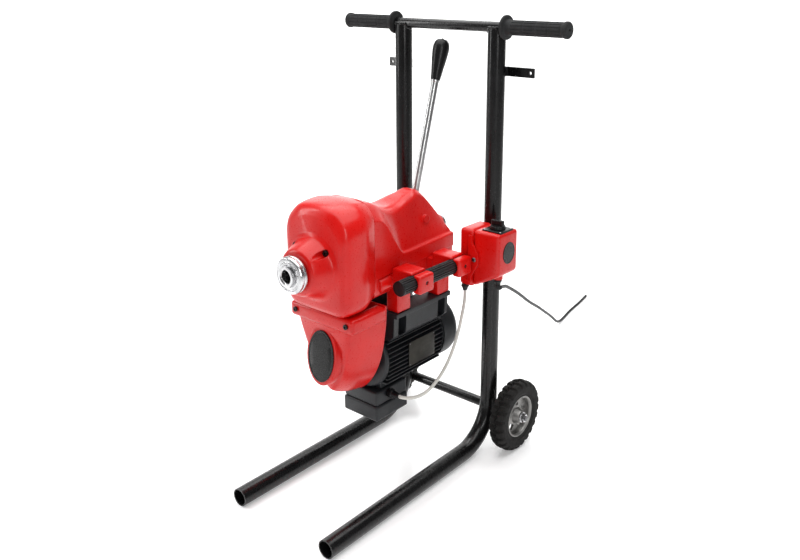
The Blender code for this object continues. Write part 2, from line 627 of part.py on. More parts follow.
def build_head():
    done(main_body(), "main_body", "red_paint")
    done(top_cover(), "top_cover", "red_paint")
    done(front_cover(), "front_cover", "red_paint")
    done(belt_cover(), "belt_cover", "red_paint")
    for (y0, y1), place in zip(CLAMP_Y, ("front", "rear")):
        pair(clamp_cap(1, y0, y1), "clamp_cap_" + place, "red_paint")
    back = profile_along_y("back", [(x, z) for x, y, z in belt_ring(0, 0, 0.0830, 0.222, 2.0, 0.4245)],
                           -0.3022, -0.2982)
    shaft_hole = cylinder("shaft_hole", "Y", (0, MOTOR_Z), -0.31, -0.29, 0.014, 20)
    done(cut(back, shaft_hole), "belt_case_back", "red_paint")
    done(plate("badge", emblem_outline(0.0340, 0.0520), 0.0014, emblem_place(-0.0105)),
         "front_emblem", "emblem_black")


# ---- spindle, chuck and lever -------------------------------------------------------------------
def spindle():
    """Hollow spindle: collar at the nose, jaw windows, thin tail with an end collar."""
    profile = [(CABLE_R + 0.0025, -0.4840), (0.0200, -0.4840), (0.0200, -0.4790), (SPINDLE_R, -0.4780),
               (SPINDLE_R, -0.0790), (SPINDLE_TAIL_R, -0.0780), (SPINDLE_TAIL_R, -0.0330),
               (0.0195, -0.0330), (0.0195, -0.0270), (CABLE_R, -0.0270), (CABLE_R, -0.4815)]
    body = turned("spindle", "Y", (0, AXIS_Z), profile, 20)
    windows = []
    for i in range(3):
        window = box("window", (-0.0066, -0.2066, 0.008), (0.0066, -0.1804, 0.03))
        window.data.transform(jaw_turn(i))
        windows.append(window)
    return cut(body, *windows)


def jaw_turn(i):
    return Matrix.Translation((0, 0, AXIS_Z)) @ Matrix.Rotation(2 * pi * i / 3, 4, "Y")


def jaw(i):
    """A chuck jaw: it stands in its window, with a sloped back for the sleeve's cone."""
    outline = [(-0.206, 0.0134), (-0.181, 0.0134), (-0.181, 0.0241), (-0.206, 0.0282)]
    turn = Matrix.Rotation(pi / 2, 4, "Z") @ Matrix.Rotation(pi / 2, 4, "X")
    body = plate("jaw", outline, 0.0120, turn)
    body.data.transform(jaw_turn(i))
    return body


def pulley(name, y, outer, bore, hub_r):
    """A V pulley for one belt of 13 mm top width."""
    groove = outer - 0.009
    profile = [(outer, y + 0.009), (outer, y + 0.0065), (groove, y + 0.0042), (groove, y - 0.0042),
               (outer, y - 0.0065), (outer, y - 0.009), (hub_r, y - 0.009), (hub_r, y - 0.012),
               (bore, y - 0.012), (bore, y + 0.012), (hub_r, y + 0.012), (hub_r, y + 0.009)]
    centre = (0, AXIS_Z) if outer == BIG_PULLEY_R else (0, MOTOR_Z)
    return turned(name, "Y", centre, profile, 20)


def belt():
    """A V-belt running over both pulleys: a wedge section led round the open loop."""
    rise = AXIS_Z - MOTOR_Z
    big, small = BIG_PULLEY_R - 0.0045, SMALL_PULLEY_R - 0.0045
    tilt = (big - small) / rise
    half_angle = sqrt(1 - tilt * tilt)
    contact = atan2(tilt, half_angle)
    path = []
    for i in range(17):
        a = -contact + (pi + 2 * contact) * i / 16
        path.append((Vector((cos(a), sin(a))), Vector((0, AXIS_Z)), big))
    for i in range(11):
        a = pi + contact + (pi - 2 * contact) * i / 10
        path.append((Vector((cos(a), sin(a))), Vector((0, MOTOR_Z)), small))
    section = ((0.0042, 0.0055), (0.0042, -0.0055), (-0.0036, -0.0036), (-0.0036, 0.0036))
    mesh = bpy.data.meshes.new("belt")
    bm = bmesh.new()
    rows = []
    for direction, centre, radius in path:
        row = []
        for out, across in section:
            place = centre + direction * (radius + out)
            row.append(bm.verts.new((place.x, BELT_Y + across, place.y)))
        rows.append(row)
    for k, row in enumerate(rows):
        following = rows[(k + 1) % len(rows)]
        for i in range(4):
            j = (i + 1) % 4
            bm.faces.new((row[i], row[j], following[j], following[i]))
    bm.to_mesh(mesh)
    bm.free()
    outward(mesh)
    return new_object("belt", mesh)


def lever_frame():
    """From the lever's own frame (+Z along the rod, origin on the pivot) to the machine."""
    return Matrix.Translation((0, PIVOT_Y, PIVOT_Z)) @ Matrix.Rotation(-LEVER_LEAN, 4, "X")


def yoke():
    """Fork on the lever's foot: cross barrel, socket for the rod, two arms with pads."""
    barrel = cylinder("yoke", "X", (PIVOT_Y, PIVOT_Z), -0.029, 0.029, 0.0085, 20)
    socket = cylinder("socket", "Z", (0, 0), 0.0, 0.027, 0.0105, 20)
    socket.data.transform(lever_frame())
    added = [socket]
    swing = Matrix.Translation((0, PIVOT_Y, PIVOT_Z)) @ Matrix.Rotation(LEVER_SWING / 2, 4, "X")
    for side in (-1, 1):
        x0, x1 = sorted((side * 0.0252, side * 0.029))
        arm = box("arm", (x0, -0.007, -YOKE_ARM - 0.006), (x1, 0.007, 0.0))
        arm.data.transform(swing)
        x0, x1 = sorted((side * 0.0221, side * 0.0260))
        pad = cylinder("pad", "X", (0, -YOKE_ARM), x0, x1, 0.0040, 16)
        pad.data.transform(swing)
        added += [arm, pad]
    body = join(barrel, *added)
    rod_bore = cylinder("rod_bore", "Z", (0, 0), 0.012, 0.04, 0.008 + GAP, 20)
    rod_bore.data.transform(lever_frame())
    pin_bore = cylinder("pin_bore", "X", (PIVOT_Y, PIVOT_Z), -0.04, 0.04, 0.0050 + GAP, 20)
    return cut(body, rod_bore, pin_bore)


def build_drive():
    spindle_axis = (0, NOSE_Y, AXIS_Z)
    centre = (0, AXIS_Z)
    done(spindle(), "spindle", "bright_steel", spindle_axis)
    nose = [(0.0300, NOSE_Y), (0.0340, NOSE_Y + 0.0010), (NOSE_R, NOSE_Y + 0.0040),
            (NOSE_R, NOSE_Y + 0.0150), (0.0330, NOSE_Y + 0.0198), (SPINDLE_R + GAP, NOSE_Y + 0.0198),
            (SPINDLE_R + GAP, NOSE_Y + 0.0002), (0.0210, NOSE_Y)]
    done(turned("nose", "Y", centre, nose, 20), "nose_ring", "bright_steel", spindle_axis)
    running = SPINDLE_R + 0.0004
    done(ring("front", "Y", centre, -0.4456, -0.4290, running, 0.0310),
         "spindle_bearing_front", "bright_steel")
    done(ring("rear", "Y", centre, -0.0980, -0.0840, running, 0.0300),
         "spindle_bearing_rear", "bright_steel")
    done(pulley("pulley", BELT_Y, BIG_PULLEY_R, SPINDLE_R + GAP, 0.030), "spindle_pulley", "dark_steel",
         spindle_axis)
    done(belt(), "drive_belt", "belt_rubber")
    done(pulley("pulley", BELT_Y, SMALL_PULLEY_R, 0.0095 + GAP, 0.0180), "motor_pulley", "dark_steel",
         (0, NOSE_Y, MOTOR_Z))
    groove = PIVOT_Y + YOKE_ARM * sin(LEVER_SWING / 2)
    sleeve = [(0.0300, -0.1760), (0.0300, -0.1400), (0.0245, -0.1360), (0.0245, groove - 0.0052),
              (0.0215, groove - 0.0052), (0.0215, groove + 0.0052), (0.0245, groove + 0.0052),
              (0.0245, groove + 0.0095), (SPINDLE_R + 0.0004, groove + 0.0095),
              (SPINDLE_R + 0.0004, -0.1400), (0.0211, -0.1480), (0.0256, -0.1760)]
    done(turned("sleeve", "Y", centre, sleeve, 20), "clutch_sleeve", "dark_steel", spindle_axis)
    for i in range(3):
        done(jaw(i), f"chuck_jaw_{i + 1}", "dark_steel", spindle_axis)
    pivot = (0, PIVOT_Y, PIVOT_Z)
    done(yoke(), "lever_yoke", "dark_steel", pivot)
    rod = turned("rod", "Z", (0, 0), [(0, 0.0123), (0.008, 0.0123), (0.008, KNOB_START + 0.040),
                                      (0, KNOB_START + 0.040)], 20)
    rod.data.transform(lever_frame())
    done(rod, "lever_rod", "bright_steel", pivot)
    s, bore = KNOB_START, 0.008 + GAP
    knob = [(bore, s), (0.0100, s), (0.0108, s + 0.004), (0.0125, s + 0.020), (0.0160, s + 0.045),
            (0.0180, s + 0.064), (0.0178, s + 0.073), (0.0150, s + 0.082), (0.0090, s + 0.088),
            (0, LEVER_LENGTH + 0.0005), (0, s + 0.0405), (bore, s + 0.0405)]
    grip_knob = turned("knob", "Z", (0, 0), knob, 20)
    grip_knob.data.transform(lever_frame())
    done(grip_knob, "lever_knob", "black_plastic", pivot)
    done(cylinder("pin", "X", (PIVOT_Y, PIVOT_Z), -0.0395, 0.0395, 0.0050, 20), "lever_pin", "bright_steel")


# ---- the motor ----------------------------------------------------------------------------------
MOTOR_FRONT_Y, MOTOR_REAR_Y = -0.275, -0.098   # finned body


def finned_outline():
    """Round core with level fins left and right, drawn as one outline."""
    pitch, thick, count = 0.0100, 0.0036, 5
    reach = 0.0690
    side = []
    for k in range(-count, count + 1):
        z = k * pitch
        tip = sqrt(max(reach ** 2 - (0.62 * z) ** 2, 0)) - 0.05 * abs(z)
        for half in (-thick / 2, thick / 2):
            root = sqrt((MOTOR_CORE_R + 0.001) ** 2 - (z + half) ** 2)
            side.append(((root, z + half), (tip, z + 0.75 * half)))
    right = arc((0, 0), MOTOR_CORE_R + 0.001, -85, -62, 3)
    for i, (root, tip) in enumerate(side):
        right += [root, tip] if i % 2 == 0 else [tip, root]
    right += arc((0, 0), MOTOR_CORE_R + 0.001, 62, 85, 3)
    outline = right + [(-x, z) for x, z in reversed(right)]
    return [(x, z + MOTOR_Z) for x, z in outline]


def motor_body():
    """Finned stator housing, hung feet-up under the legs, with the four bolts of its feet."""
    body = profile_along_y("motor_body", finned_outline(), MOTOR_FRONT_Y, MOTOR_REAR_Y)
    foot_right = [(0.018, MOTOR_Z + 0.050), (0.066, MOTOR_Z + 0.046), (0.079, MOTOR_Z + 0.060),
                  (0.081, FOOT_Z - 0.010), (0.088, FOOT_Z - 0.010), (0.088, FOOT_Z), (0.048, FOOT_Z),
                  (0.044, MOTOR_Z + 0.068), (0.018, MOTOR_Z + 0.062)]
    feet = []
    for side in (-1, 1):
        outline = [(side * x, z) for x, z in foot_right]
        feet.append(profile_along_y("foot", outline, MOTOR_FRONT_Y + 0.001, MOTOR_REAR_Y - 0.001))
    box_seat = box("box_seat", (-0.040, -0.272, MOTOR_Z - 0.069), (0.040, -0.196, MOTOR_Z - 0.050))
    body = join(body, *feet, box_seat)
    bolts = []
    cuts = [cylinder("bore", "Y", (0, MOTOR_Z), MOTOR_FRONT_Y - 0.01, MOTOR_REAR_Y + 0.01, 0.0525, 40)]
    for side in (-1, 1):
        for y in foot_bolt_places():
            x0, x1 = sorted((side * 0.0585, side * 0.095))
            cuts.append(box("pocket", (x0, y - 0.012, MOTOR_Z + 0.056), (x1, y + 0.012, FOOT_Z - 0.010)))
            place = (side * FOOT_BOLT_X, y)
            bolts.append(cylinder("head", "Z", place, FOOT_Z - 0.0165, FOOT_Z - 0.0090, 0.0075, 6))
            bolts.append(cylinder("shank", "Z", place, FOOT_Z - 0.0110, 0.4255, 0.0040, 8))
    return join(cut(body, *cuts), *bolts)


def fan_cover():
    """Sheet steel cup over the fan with rows of air slots in its back."""
    r, y0, y1, t = FAN_COVER_R, -0.0966, -0.0450, 0.0015
    profile = [(r, y0), (r, y1 - 0.008), (r - 0.004, y1 - 0.002), (r - 0.010, y1), (0, y1),
               (0, y1 - t), (r - 0.0105, y1 - t), (r - 0.005, y1 - 0.0035), (r - t, y1 - 0.009), (r - t, y0)]
    body = turned("fan_cover", "Y", (0, MOTOR_Z), profile, 20)
    slots = []
    for k in (-2, -1, 0, 1, 2):
        half = sqrt(0.054 ** 2 - (k * 0.019) ** 2)
        z = MOTOR_Z + k * 0.019
        slots.append(box("slot", (-half, y1 - 0.005, z - 0.0035), (half, y1 + 0.005, z + 0.0035)))
    return cut(body, *slots)


def fan():
    """Plain radial fan on the shaft's tail."""
    hub = ring("fan", "Y", (0, MOTOR_Z), -0.0820, -0.0640, 0.0080 + GAP, 0.0160, 20)
    disc = ring("disc", "Y", (0, MOTOR_Z), -0.0820, -0.0800, 0.0150, 0.0600, 20)
    blades = []
    for i in range(6):
        blade = box("blade", (-0.001, -0.0805, 0.0150), (0.001, -0.0600, 0.0580))
        blade.data.transform(Matrix.Translation((0, 0, MOTOR_Z)) @ Matrix.Rotation(2 * pi * i / 6, 4, "Y"))
        blades.append(blade)
    return join(hub, disc, *blades)


def build_motor():
    done(motor_body(), "motor_body", "motor_grey")
    centre = (0, MOTOR_Z)
    running = 0.0095 + 0.0002
    front = [(0.0200, -0.2920), (0.0300, -0.2910), (0.0440, -0.2870), (0.0660, -0.2845), (0.0685, -0.2810),
             (0.0685, -0.2753), (0.0522, -0.2753), (0.0522, -0.2700), (0.0490, -0.2700), (0.0440, -0.2800),
             (0.0200, -0.2800), (0.0200, -0.2750), (running, -0.2750), (running, -0.2920)]
    rear = [(0.0685, -0.0977), (0.0685, -0.0930), (0.0670, -0.0900), (0.0440, -0.0860), (0.0240, -0.0868),
            (running, -0.0868), (running, -0.1010), (0.0175, -0.1010), (0.0175, -0.0960),
            (0.0440, -0.0930), (0.0490, -0.1030), (0.0522, -0.1030), (0.0522, -0.0977)]
    done(turned("front", "Y", centre, front, 20), "motor_shield_front", "motor_grey")
    done(turned("rear", "Y", centre, rear, 20), "motor_shield_rear", "motor_grey")
    shaft = [(0, -0.3600), (0.0090, -0.3600), (0.0095, -0.3590), (0.0095, -0.2500), (0.0460, -0.2500),
             (0.0460, -0.1250), (0.0095, -0.1250), (0.0095, -0.0865), (0.0080, -0.0850), (0.0080, -0.0580),
             (0, -0.0580)]
    rotor_axis = (0, NOSE_Y, MOTOR_Z)
    done(turned("rotor", "Y", centre, shaft, 20), "motor_rotor", "dark_steel", rotor_axis)
    done(fan(), "motor_fan", "black_plastic", rotor_axis)
    done(fan_cover(), "fan_cover", "motor_grey")
    tray = box("tray", (-0.046, -0.292, 0.1860), (0.046, -0.196, MOTOR_Z - 0.0693), 0.003, 1)
    way = box("way", (-0.041, -0.287, 0.18), (0.041, -0.201, 0.213))
    gland_hole = cylinder("gland_hole", "X", CABLE_ROUTE[0][1:], 0.03, 0.06, 0.0063, 16)
    done(cut(tray, way, gland_hole), "terminal_box", "motor_grey")
    lid = box("lid", (-0.048, -0.294, 0.1520), (0.048, -0.194, 0.1857), 0.004, 2)
    lid_way = box("way", (-0.043, -0.289, 0.1560), (0.043, -0.199, 0.19))
    done(cut(lid, lid_way), "terminal_lid", "motor_grey")


# ---- the switch and the cables ------------------------------------------------------------------
def box_bottom(x):
    """Height of the switch box's sloping bottom."""
    return 0.4205 + (x - BOX_X[1]) / (BOX_X[2] - BOX_X[1]) * 0.0335


def switch_bracket():
    """Inner half of the switch box: it is bored for the support bar and has a front ear."""
    x0, x1 = BOX_X[0], BOX_X[1] - GAP
    block = box("switch_bracket", (x0, BOX_Y[0], 0.4180), (x1, BOX_Y[1], BOX_TOP_Z), 0.007, 2)
    ear = profile_along_y("ear", [(0.1340, 0.5360), (0.1440, 0.5180), (0.1600, 0.4920), (0.1600, 0.4720),
                                  (0.1440, 0.4460), (0.1340, 0.4280)], -0.1000, BOX_Y[0] - GAP)
    bridge = box("bridge", (0.1340, -0.1000, 0.4320), (0.1425, -0.0900, 0.5320))
    bore = cylinder("bore", "Y", (HALF_SPAN, SUPPORT_Z), -0.12, 0.0, SUPPORT_R + GAP, 20)
    hole = cylinder("hole", "Y", (0.150, 0.482), -0.12, -0.09, 0.0030, 12)
    duct = cylinder("duct", "Z", (0.118, -0.086), 0.40, 0.452, 0.0046, 12)
    return cut(join(block, ear, bridge), bore, hole, duct)


def switch_box():
    """Outer half: a hollow casting, open towards the bracket, with a sloping bottom."""
    x0, x1, (y0, y1), top = BOX_X[1], BOX_X[2], BOX_Y, BOX_TOP_Z
    outline = [(x0, top - 0.002), (x0 + 0.004, top), (x1 - 0.006, top), (x1, top - 0.006),
               (x1, box_bottom(x1) + 0.008), (x1 - 0.006, box_bottom(x1 - 0.006)), (x0, box_bottom(x0))]
    body = profile_along_y("switch_box", outline, y0, y1)
    t = 0.0035
    hollow = [(x0 - 0.01, top - t), (x1 - t, top - t), (x1 - t, box_bottom(x1) + t + 0.006),
              (x0 - 0.01, box_bottom(x0 - 0.01) + t)]
    cavity = profile_along_y("cavity", hollow, y0 + t, y1 - t)
    boss = cylinder("boss", "Z", (CORD_ROUTE[0][0], CORD_ROUTE[0][1]), 0.4290, 0.4480, 0.0105, 16)
    switch_hole = cylinder("switch_hole", "Z", (KNOB_X, KNOB_Y), top - 0.01, top + 0.01, 0.0060, 16)
    cord_hole = cylinder("cord_hole", "Z", (CORD_ROUTE[0][0], CORD_ROUTE[0][1]), 0.42, 0.47, 0.0063, 16)
    ear_hole = cylinder("ear_hole", "Y", (0.150, 0.482), y0 - 0.01, y0 + 0.01, 0.0030, 12)
    return cut(join(body, boss), cavity, switch_hole, cord_hole, ear_hole)


def knob():
    """Rotary knob: a skirt, a finger bar and a stem down to the switch block."""
    z = BOX_TOP_Z + 0.0030 + GAP
    stem = cylinder("knob", "Z", (KNOB_X, KNOB_Y), z - 0.0120, z + 0.002, 0.0040, 16)
    skirt = cylinder("skirt", "Z", (KNOB_X, KNOB_Y), z, z + 0.0070, 0.0170, 32, 0.0155)
    bar = box("bar", (KNOB_X - 0.0145, KNOB_Y - 0.0045, z + 0.005), (KNOB_X + 0.0145, KNOB_Y + 0.0045, z + 0.0185),
              0.002, 2)
    return join(stem, skirt, bar)


def gland(base, direction, length, radius, tip_radius, bore, deep=0.0):
    """A cable gland: hexagon, then a tapered sleeve, bored through."""
    direction = Vector(direction).normalized()
    turn = Vector((0, 0, 1)).rotation_difference(direction).to_matrix().to_4x4()
    profile = [(bore, length), (tip_radius, length), (radius * 0.8, length * 0.45), (radius, length * 0.42),
               (radius, 0.0), (radius * 0.62, 0.0), (radius * 0.62, -deep), (bore, -deep)]
    body = turned("gland", "Z", (0, 0), profile, 12)
    body.data.transform(Matrix.Translation(base) @ turn)
    return body


def build_switch_and_cables():
    done(switch_bracket(), "switch_bracket", "red_paint")
    done(switch_box(), "switch_box", "red_paint")
    top = BOX_TOP_Z
    face = box("face", (KNOB_X - 0.0235, KNOB_Y - 0.0235, top + GAP),
               (KNOB_X + 0.0235, KNOB_Y + 0.0235, top + 0.003), 0.0012, 1)
    neck = cylinder("neck", "Z", (KNOB_X, KNOB_Y), top - 0.011, top + 0.001, 0.0058, 16)
    block = box("block", (KNOB_X - 0.019, KNOB_Y - 0.019, top - 0.055),
                (KNOB_X + 0.019, KNOB_Y + 0.019, top - 0.0095), 0.002, 1)
    stem_hole = cylinder("hole", "Z", (KNOB_X, KNOB_Y), top - 0.0095, top + 0.01, 0.0043, 16)
    done(cut(join(face, neck, block), stem_hole), "cam_switch", "black_plastic")
    done(knob(), "switch_knob", "black_plastic", (KNOB_X, KNOB_Y, top))
    first = Vector(CABLE_ROUTE[0])
    last = Vector(CABLE_ROUTE[-1])
    cord_start = Vector(CORD_ROUTE[0])
    bore = 0.0010
    done(gland((0.0463, first.y, first.z), (1, 0, 0), 0.0286, 0.0105, 0.0060, bore),
         "motor_gland", "black_plastic")
    done(gland((last.x, last.y, 0.4177), (0, 0, -1), 0.0138, 0.0085, 0.0050, bore),
         "cable_gland", "black_plastic")
    done(gland(cord_start + Vector((0, 0, 0.0125)), (0, 0, -1), 0.0122, 0.0090, 0.0058, bore),
         "cord_gland", "black_plastic")
    done(tube("cable", smooth_route(CABLE_ROUTE, 0.016), CABLE_D / 2, 2), "motor_cable", "white_cable")
    done(tube("cord", smooth_route(CORD_ROUTE, 0.024), CORD_D / 2, 2), "supply_cord", "black_plastic")


build_stand()
build_wheels()
build_head()
build_drive()
build_motor()
build_switch_and_cables()
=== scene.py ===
"""The looks of the drain cleaning machine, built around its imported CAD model.

Every piece is made in the stand's own coordinates (x = 0 middle plane, y = 0 the uprights, z = 0 floor)
and is then moved by SHIFT into the frame's coordinates, which have their origin under the machine.
"""
from math import atan2, cos, pi, radians, sin, sqrt

import bmesh
import bpy
from mathutils import Matrix, Vector, noise


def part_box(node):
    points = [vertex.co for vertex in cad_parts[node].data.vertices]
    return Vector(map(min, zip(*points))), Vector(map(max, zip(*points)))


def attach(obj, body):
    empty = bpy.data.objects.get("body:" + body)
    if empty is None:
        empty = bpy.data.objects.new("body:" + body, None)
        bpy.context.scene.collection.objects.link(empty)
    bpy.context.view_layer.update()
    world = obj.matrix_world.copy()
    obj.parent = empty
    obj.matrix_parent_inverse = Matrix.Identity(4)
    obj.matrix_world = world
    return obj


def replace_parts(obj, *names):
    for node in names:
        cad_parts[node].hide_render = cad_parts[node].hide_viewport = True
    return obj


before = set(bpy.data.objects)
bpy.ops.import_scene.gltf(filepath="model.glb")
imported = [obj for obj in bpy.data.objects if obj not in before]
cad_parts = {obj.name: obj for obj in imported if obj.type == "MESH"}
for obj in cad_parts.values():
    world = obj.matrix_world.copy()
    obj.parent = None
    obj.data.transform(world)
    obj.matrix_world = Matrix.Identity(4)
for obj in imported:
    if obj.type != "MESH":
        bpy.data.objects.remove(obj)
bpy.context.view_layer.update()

# ---- sizes that the CAD shares ------------------------------------------------------------------
TUBE_R, TUBE_WALL, HALF_SPAN, BEND_R = 0.019, 0.0025, 0.126, 0.100
FOOT_TIP_Y, TOP_Z, BAR_R, BAR_HALF = -0.523, 0.9525, 0.011, 0.292
GRIP_IN, GRIP_OUT = 0.1455, 0.295
AXLE_Y, WHEEL_R, WHEEL_X, WHEEL_W, AXLE_R, HOOK_Z = 0.025, 0.0815, 0.182, 0.038, 0.006, 0.860
SUPPORT_Z, SUPPORT_R, SUPPORT_TIP_Y, SLEEVE_R, SLEEVE_REAR_Y = 0.474, 0.0125, -0.306, 0.0155, -0.101
AXIS_Z, SPINDLE_R, SPINDLE_TAIL_R, CABLE_R = 0.518, 0.018, 0.015, 0.0125
SPINDLE_FRONT_Y, NOSE_Y, NOSE_R = -0.484, -0.477, 0.036
MOTOR_Z, FAN_COVER_R, MOTOR_FRONT_Y, MOTOR_REAR_Y = 0.287, 0.0725, -0.275, -0.098
BODY_FRONT_Y, BODY_REAR_Y, BODY_LOW_Z, SEAM_Z = -0.318, -0.045, 0.440, 0.480
BODY_HALF_FRONT, BODY_HALF_REAR, WALL = 0.072, 0.054, 0.004
CLAMP_Y = ((-0.272, -0.228), (-0.146, -0.104))
LEG_Y, LEG_X = ((-0.268, -0.228), (-0.140, -0.100)), (0.055, 0.086)
FOOT_Z, FOOT_BOLT_X = 0.398, 0.0705
LEVER_LEAN, PIVOT_Y, PIVOT_Z = radians(16.0), -0.1248, 0.556
KNOB_START, LEVER_LENGTH = 0.294, 0.384
BOX_X, BOX_Y, BOX_TOP_Z = (0.108, 0.1435, 0.208), (-0.095, -0.024), 0.544
KNOB_X, KNOB_Y = 0.181, -0.0605
EMBLEM_Y, EMBLEM_Z, EMBLEM_LEAN = -0.3935, 0.3280, radians(6.6)
CABLE_D, CORD_D = 0.007, 0.008
CABLE_ROUTE = ((0.0752, -0.2540, 0.2060), (0.0815, -0.2537, 0.2058), (0.0930, -0.2440, 0.2040),
               (0.1040, -0.2250, 0.2045), (0.1120, -0.2020, 0.2120), (0.1170, -0.1760, 0.2290),
               (0.1195, -0.1500, 0.2540), (0.1200, -0.1270, 0.2850), (0.1195, -0.1090, 0.3190),
               (0.1190, -0.0960, 0.3530), (0.1185, -0.0880, 0.3800), (0.1180, -0.0860, 0.4035))
CORD_ROUTE = ((0.1720, -0.0420, 0.4162), (0.1720, -0.0418, 0.4122), (0.1695, -0.0310, 0.4045),
              (0.1620, -0.0130, 0.3990), (0.1510, 0.0130, 0.3900), (0.1355, 0.0508, 0.3740),
              (0.0985, 0.1537, 0.3185), (0.0630, 0.2524, 0.2605), (0.0390, 0.3200, 0.2225),
              (0.0147, 0.3868, 0.1865), (-0.0205, 0.4846, 0.1310), (-0.0451, 0.5530, 0.0920),
              (-0.0690, 0.6180, 0.0530), (-0.0860, 0.6650, 0.0250), (-0.0960, 0.6980, 0.0100),
              (-0.1040, 0.7350, 0.0046), (-0.1190, 0.8080, 0.0042), (-0.1300, 0.8850, 0.0042),
              (-0.1430, 0.9570, 0.0042))

SHIFT = Vector((0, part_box("spindle")[0].y - SPINDLE_FRONT_Y, 0))
ALONG = {"X": Matrix.Rotation(pi / 2, 4, "Y"), "Y": Matrix.Rotation(-pi / 2, 4, "X"), "Z": Matrix()}
CURVE_WELD = 0.00001  # points this close become one where a curve turns into a mesh
EYE, YAW, PITCH = Vector((1.1159, -1.4400, 1.0585)), 39.66, 14.97


# ---- camera -------------------------------------------------------------------------------------
camera = bpy.data.objects.new("camera", bpy.data.cameras.new("camera"))
bpy.context.scene.collection.objects.link(camera)
bpy.context.scene.camera = camera
camera.location = EYE + SHIFT
camera.rotation_euler = (radians(90 - PITCH), 0, radians(YAW))
camera.data.sensor_width, camera.data.lens = 36, 37.628
camera.data.shift_x, camera.data.shift_y = -0.0254, -0.1039
camera.data.clip_start, camera.data.clip_end = 0.05, 50


# ---- materials ----------------------------------------------------------------------------------
def new_material(name, colour, roughness, metallic=0.0, **sockets):
    """A Principled material; other sockets are given by name, with _ for a space."""
    made = bpy.data.materials.new(name)
    made.use_nodes = True
    shader = made.node_tree.nodes["Principled BSDF"]
    shader.inputs["Base Color"].default_value = (*colour, 1)
    shader.inputs["Roughness"].default_value = roughness
    shader.inputs["Metallic"].default_value = metallic
    for socket, value in sockets.items():
        shader.inputs[socket.replace("_", " ")].default_value = value
    return made


def node(material, kind, inputs=(), **settings):
    """A shader node; an input may be a value or the output of another node."""
    made = material.node_tree.nodes.new(kind)
    for key, value in settings.items():
        setattr(made, key, value)
    for key, value in inputs:
        if isinstance(value, bpy.types.NodeSocket):
            material.node_tree.links.new(value, made.inputs[key])
        else:
            made.inputs[key].default_value = value
    return made


def place(material, stretch=(1, 1, 1)):
    """Object coordinates in metres, stretched for brushed or drawn looks."""
    coords = node(material, "ShaderNodeTexCoord")
    mapping = node(material, "ShaderNodeMapping", [("Vector", coords.outputs["Object"])])
    mapping.inputs["Scale"].default_value = stretch
    return mapping.outputs["Vector"]


def speckle(material, scale, detail=4.0, rough=0.6, stretch=(1, 1, 1)):
    """Noise fixed to the object, so that it stays with the surface."""
    return node(material, "ShaderNodeTexNoise", [("Vector", place(material, stretch)), ("Scale", scale),
                                                 ("Detail", detail), ("Roughness", rough)]).outputs["Fac"]


def ramp(material, value, low, high, from_value, to_value):
    """The value from low to high, mapped to another range and held at its ends."""
    return node(material, "ShaderNodeMapRange", [("Value", value), ("From Min", low), ("From Max", high),
                                                 ("To Min", from_value), ("To Max", to_value)]).outputs["Result"]


def tint(material, value, low, high, first, second):
    """Colour from first to second as value goes from low to high."""
    share = ramp(material, value, low, high, 0.0, 1.0)
    mixer = node(material, "ShaderNodeMix", [(0, share)], data_type="RGBA")
    mixer.inputs[6].default_value = (*first, 1)
    mixer.inputs[7].default_value = (*second, 1)
    return mixer.outputs[2]


def over(material, share, below, colour):
    """Colour laid over another colour where share is 1."""
    mixer = node(material, "ShaderNodeMix", [(0, share)], data_type="RGBA")
    material.node_tree.links.new(below, mixer.inputs[6])
    mixer.inputs[7].default_value = (*colour, 1)
    return mixer.outputs[2]


def feed(material, socket, output):
    """Link an output to a socket of the material's shader."""
    material.node_tree.links.new(output, material.node_tree.nodes["Principled BSDF"].inputs[socket])


def relief(material, *layers, edge=0.0):
    """Bump layers, each (height, strength, distance), over edges that look rounded by edge metres."""
    normal = node(material, "ShaderNodeBevel", [("Radius", edge)], samples=6).outputs["Normal"] if edge else None
    for height, strength, distance in layers:
        inputs = [("Height", height), ("Strength", strength), ("Distance", distance)]
        if normal:
            inputs.append(("Normal", normal))
        normal = node(material, "ShaderNodeBump", inputs).outputs["Normal"]
    feed(material, "Normal", normal)


def red_paint():
    """Glossy enamel over a slightly uneven casting, with small dark chips."""
    m = new_material("red_paint", (0.62, 0.004, 0.003), 0.30, Specular_IOR_Level=0.32,
                     Coat_Weight=0.16, Coat_Roughness=0.08)
    broad, fine = speckle(m, 9.0, 3.0), speckle(m, 260.0, 5.0, 0.7)
    base = tint(m, broad, 0.3, 0.7, (0.56, 0.003, 0.002), (0.68, 0.006, 0.004))
    chips = ramp(m, speckle(m, 70.0, 8.0, 0.75), 0.79, 0.81, 0.0, 0.6)
    feed(m, "Base Color", over(m, chips, base, (0.10, 0.012, 0.010)))
    feed(m, "Roughness", ramp(m, fine, 0.3, 0.7, 0.24, 0.38))
    relief(m, (speckle(m, 30.0, 2.0, 0.5), 0.30, 0.0012), (fine, 0.10, 0.0004), edge=0.0022)
    return m


def black_paint():
    """Glossy black paint with fine scratches."""
    m = new_material("black_paint", (0.003, 0.003, 0.003), 0.20, Specular_IOR_Level=0.30,
                     Coat_Weight=0.12, Coat_Roughness=0.06)
    marks = speckle(m, 60.0, 9.0, 0.8, (1, 1, 0.28))
    scratched = ramp(m, marks, 0.73, 0.76, 0.0, 0.8)
    base = tint(m, speckle(m, 20.0), 0.3, 0.7, (0.002, 0.002, 0.002), (0.006, 0.006, 0.0065))
    feed(m, "Base Color", over(m, scratched, base, (0.16, 0.155, 0.15)))
    feed(m, "Roughness", ramp(m, marks, 0.35, 0.72, 0.17, 0.42))
    relief(m, (speckle(m, 240.0, 4.0), 0.12, 0.0004), (scratched, 0.2, -0.0003))
    return m


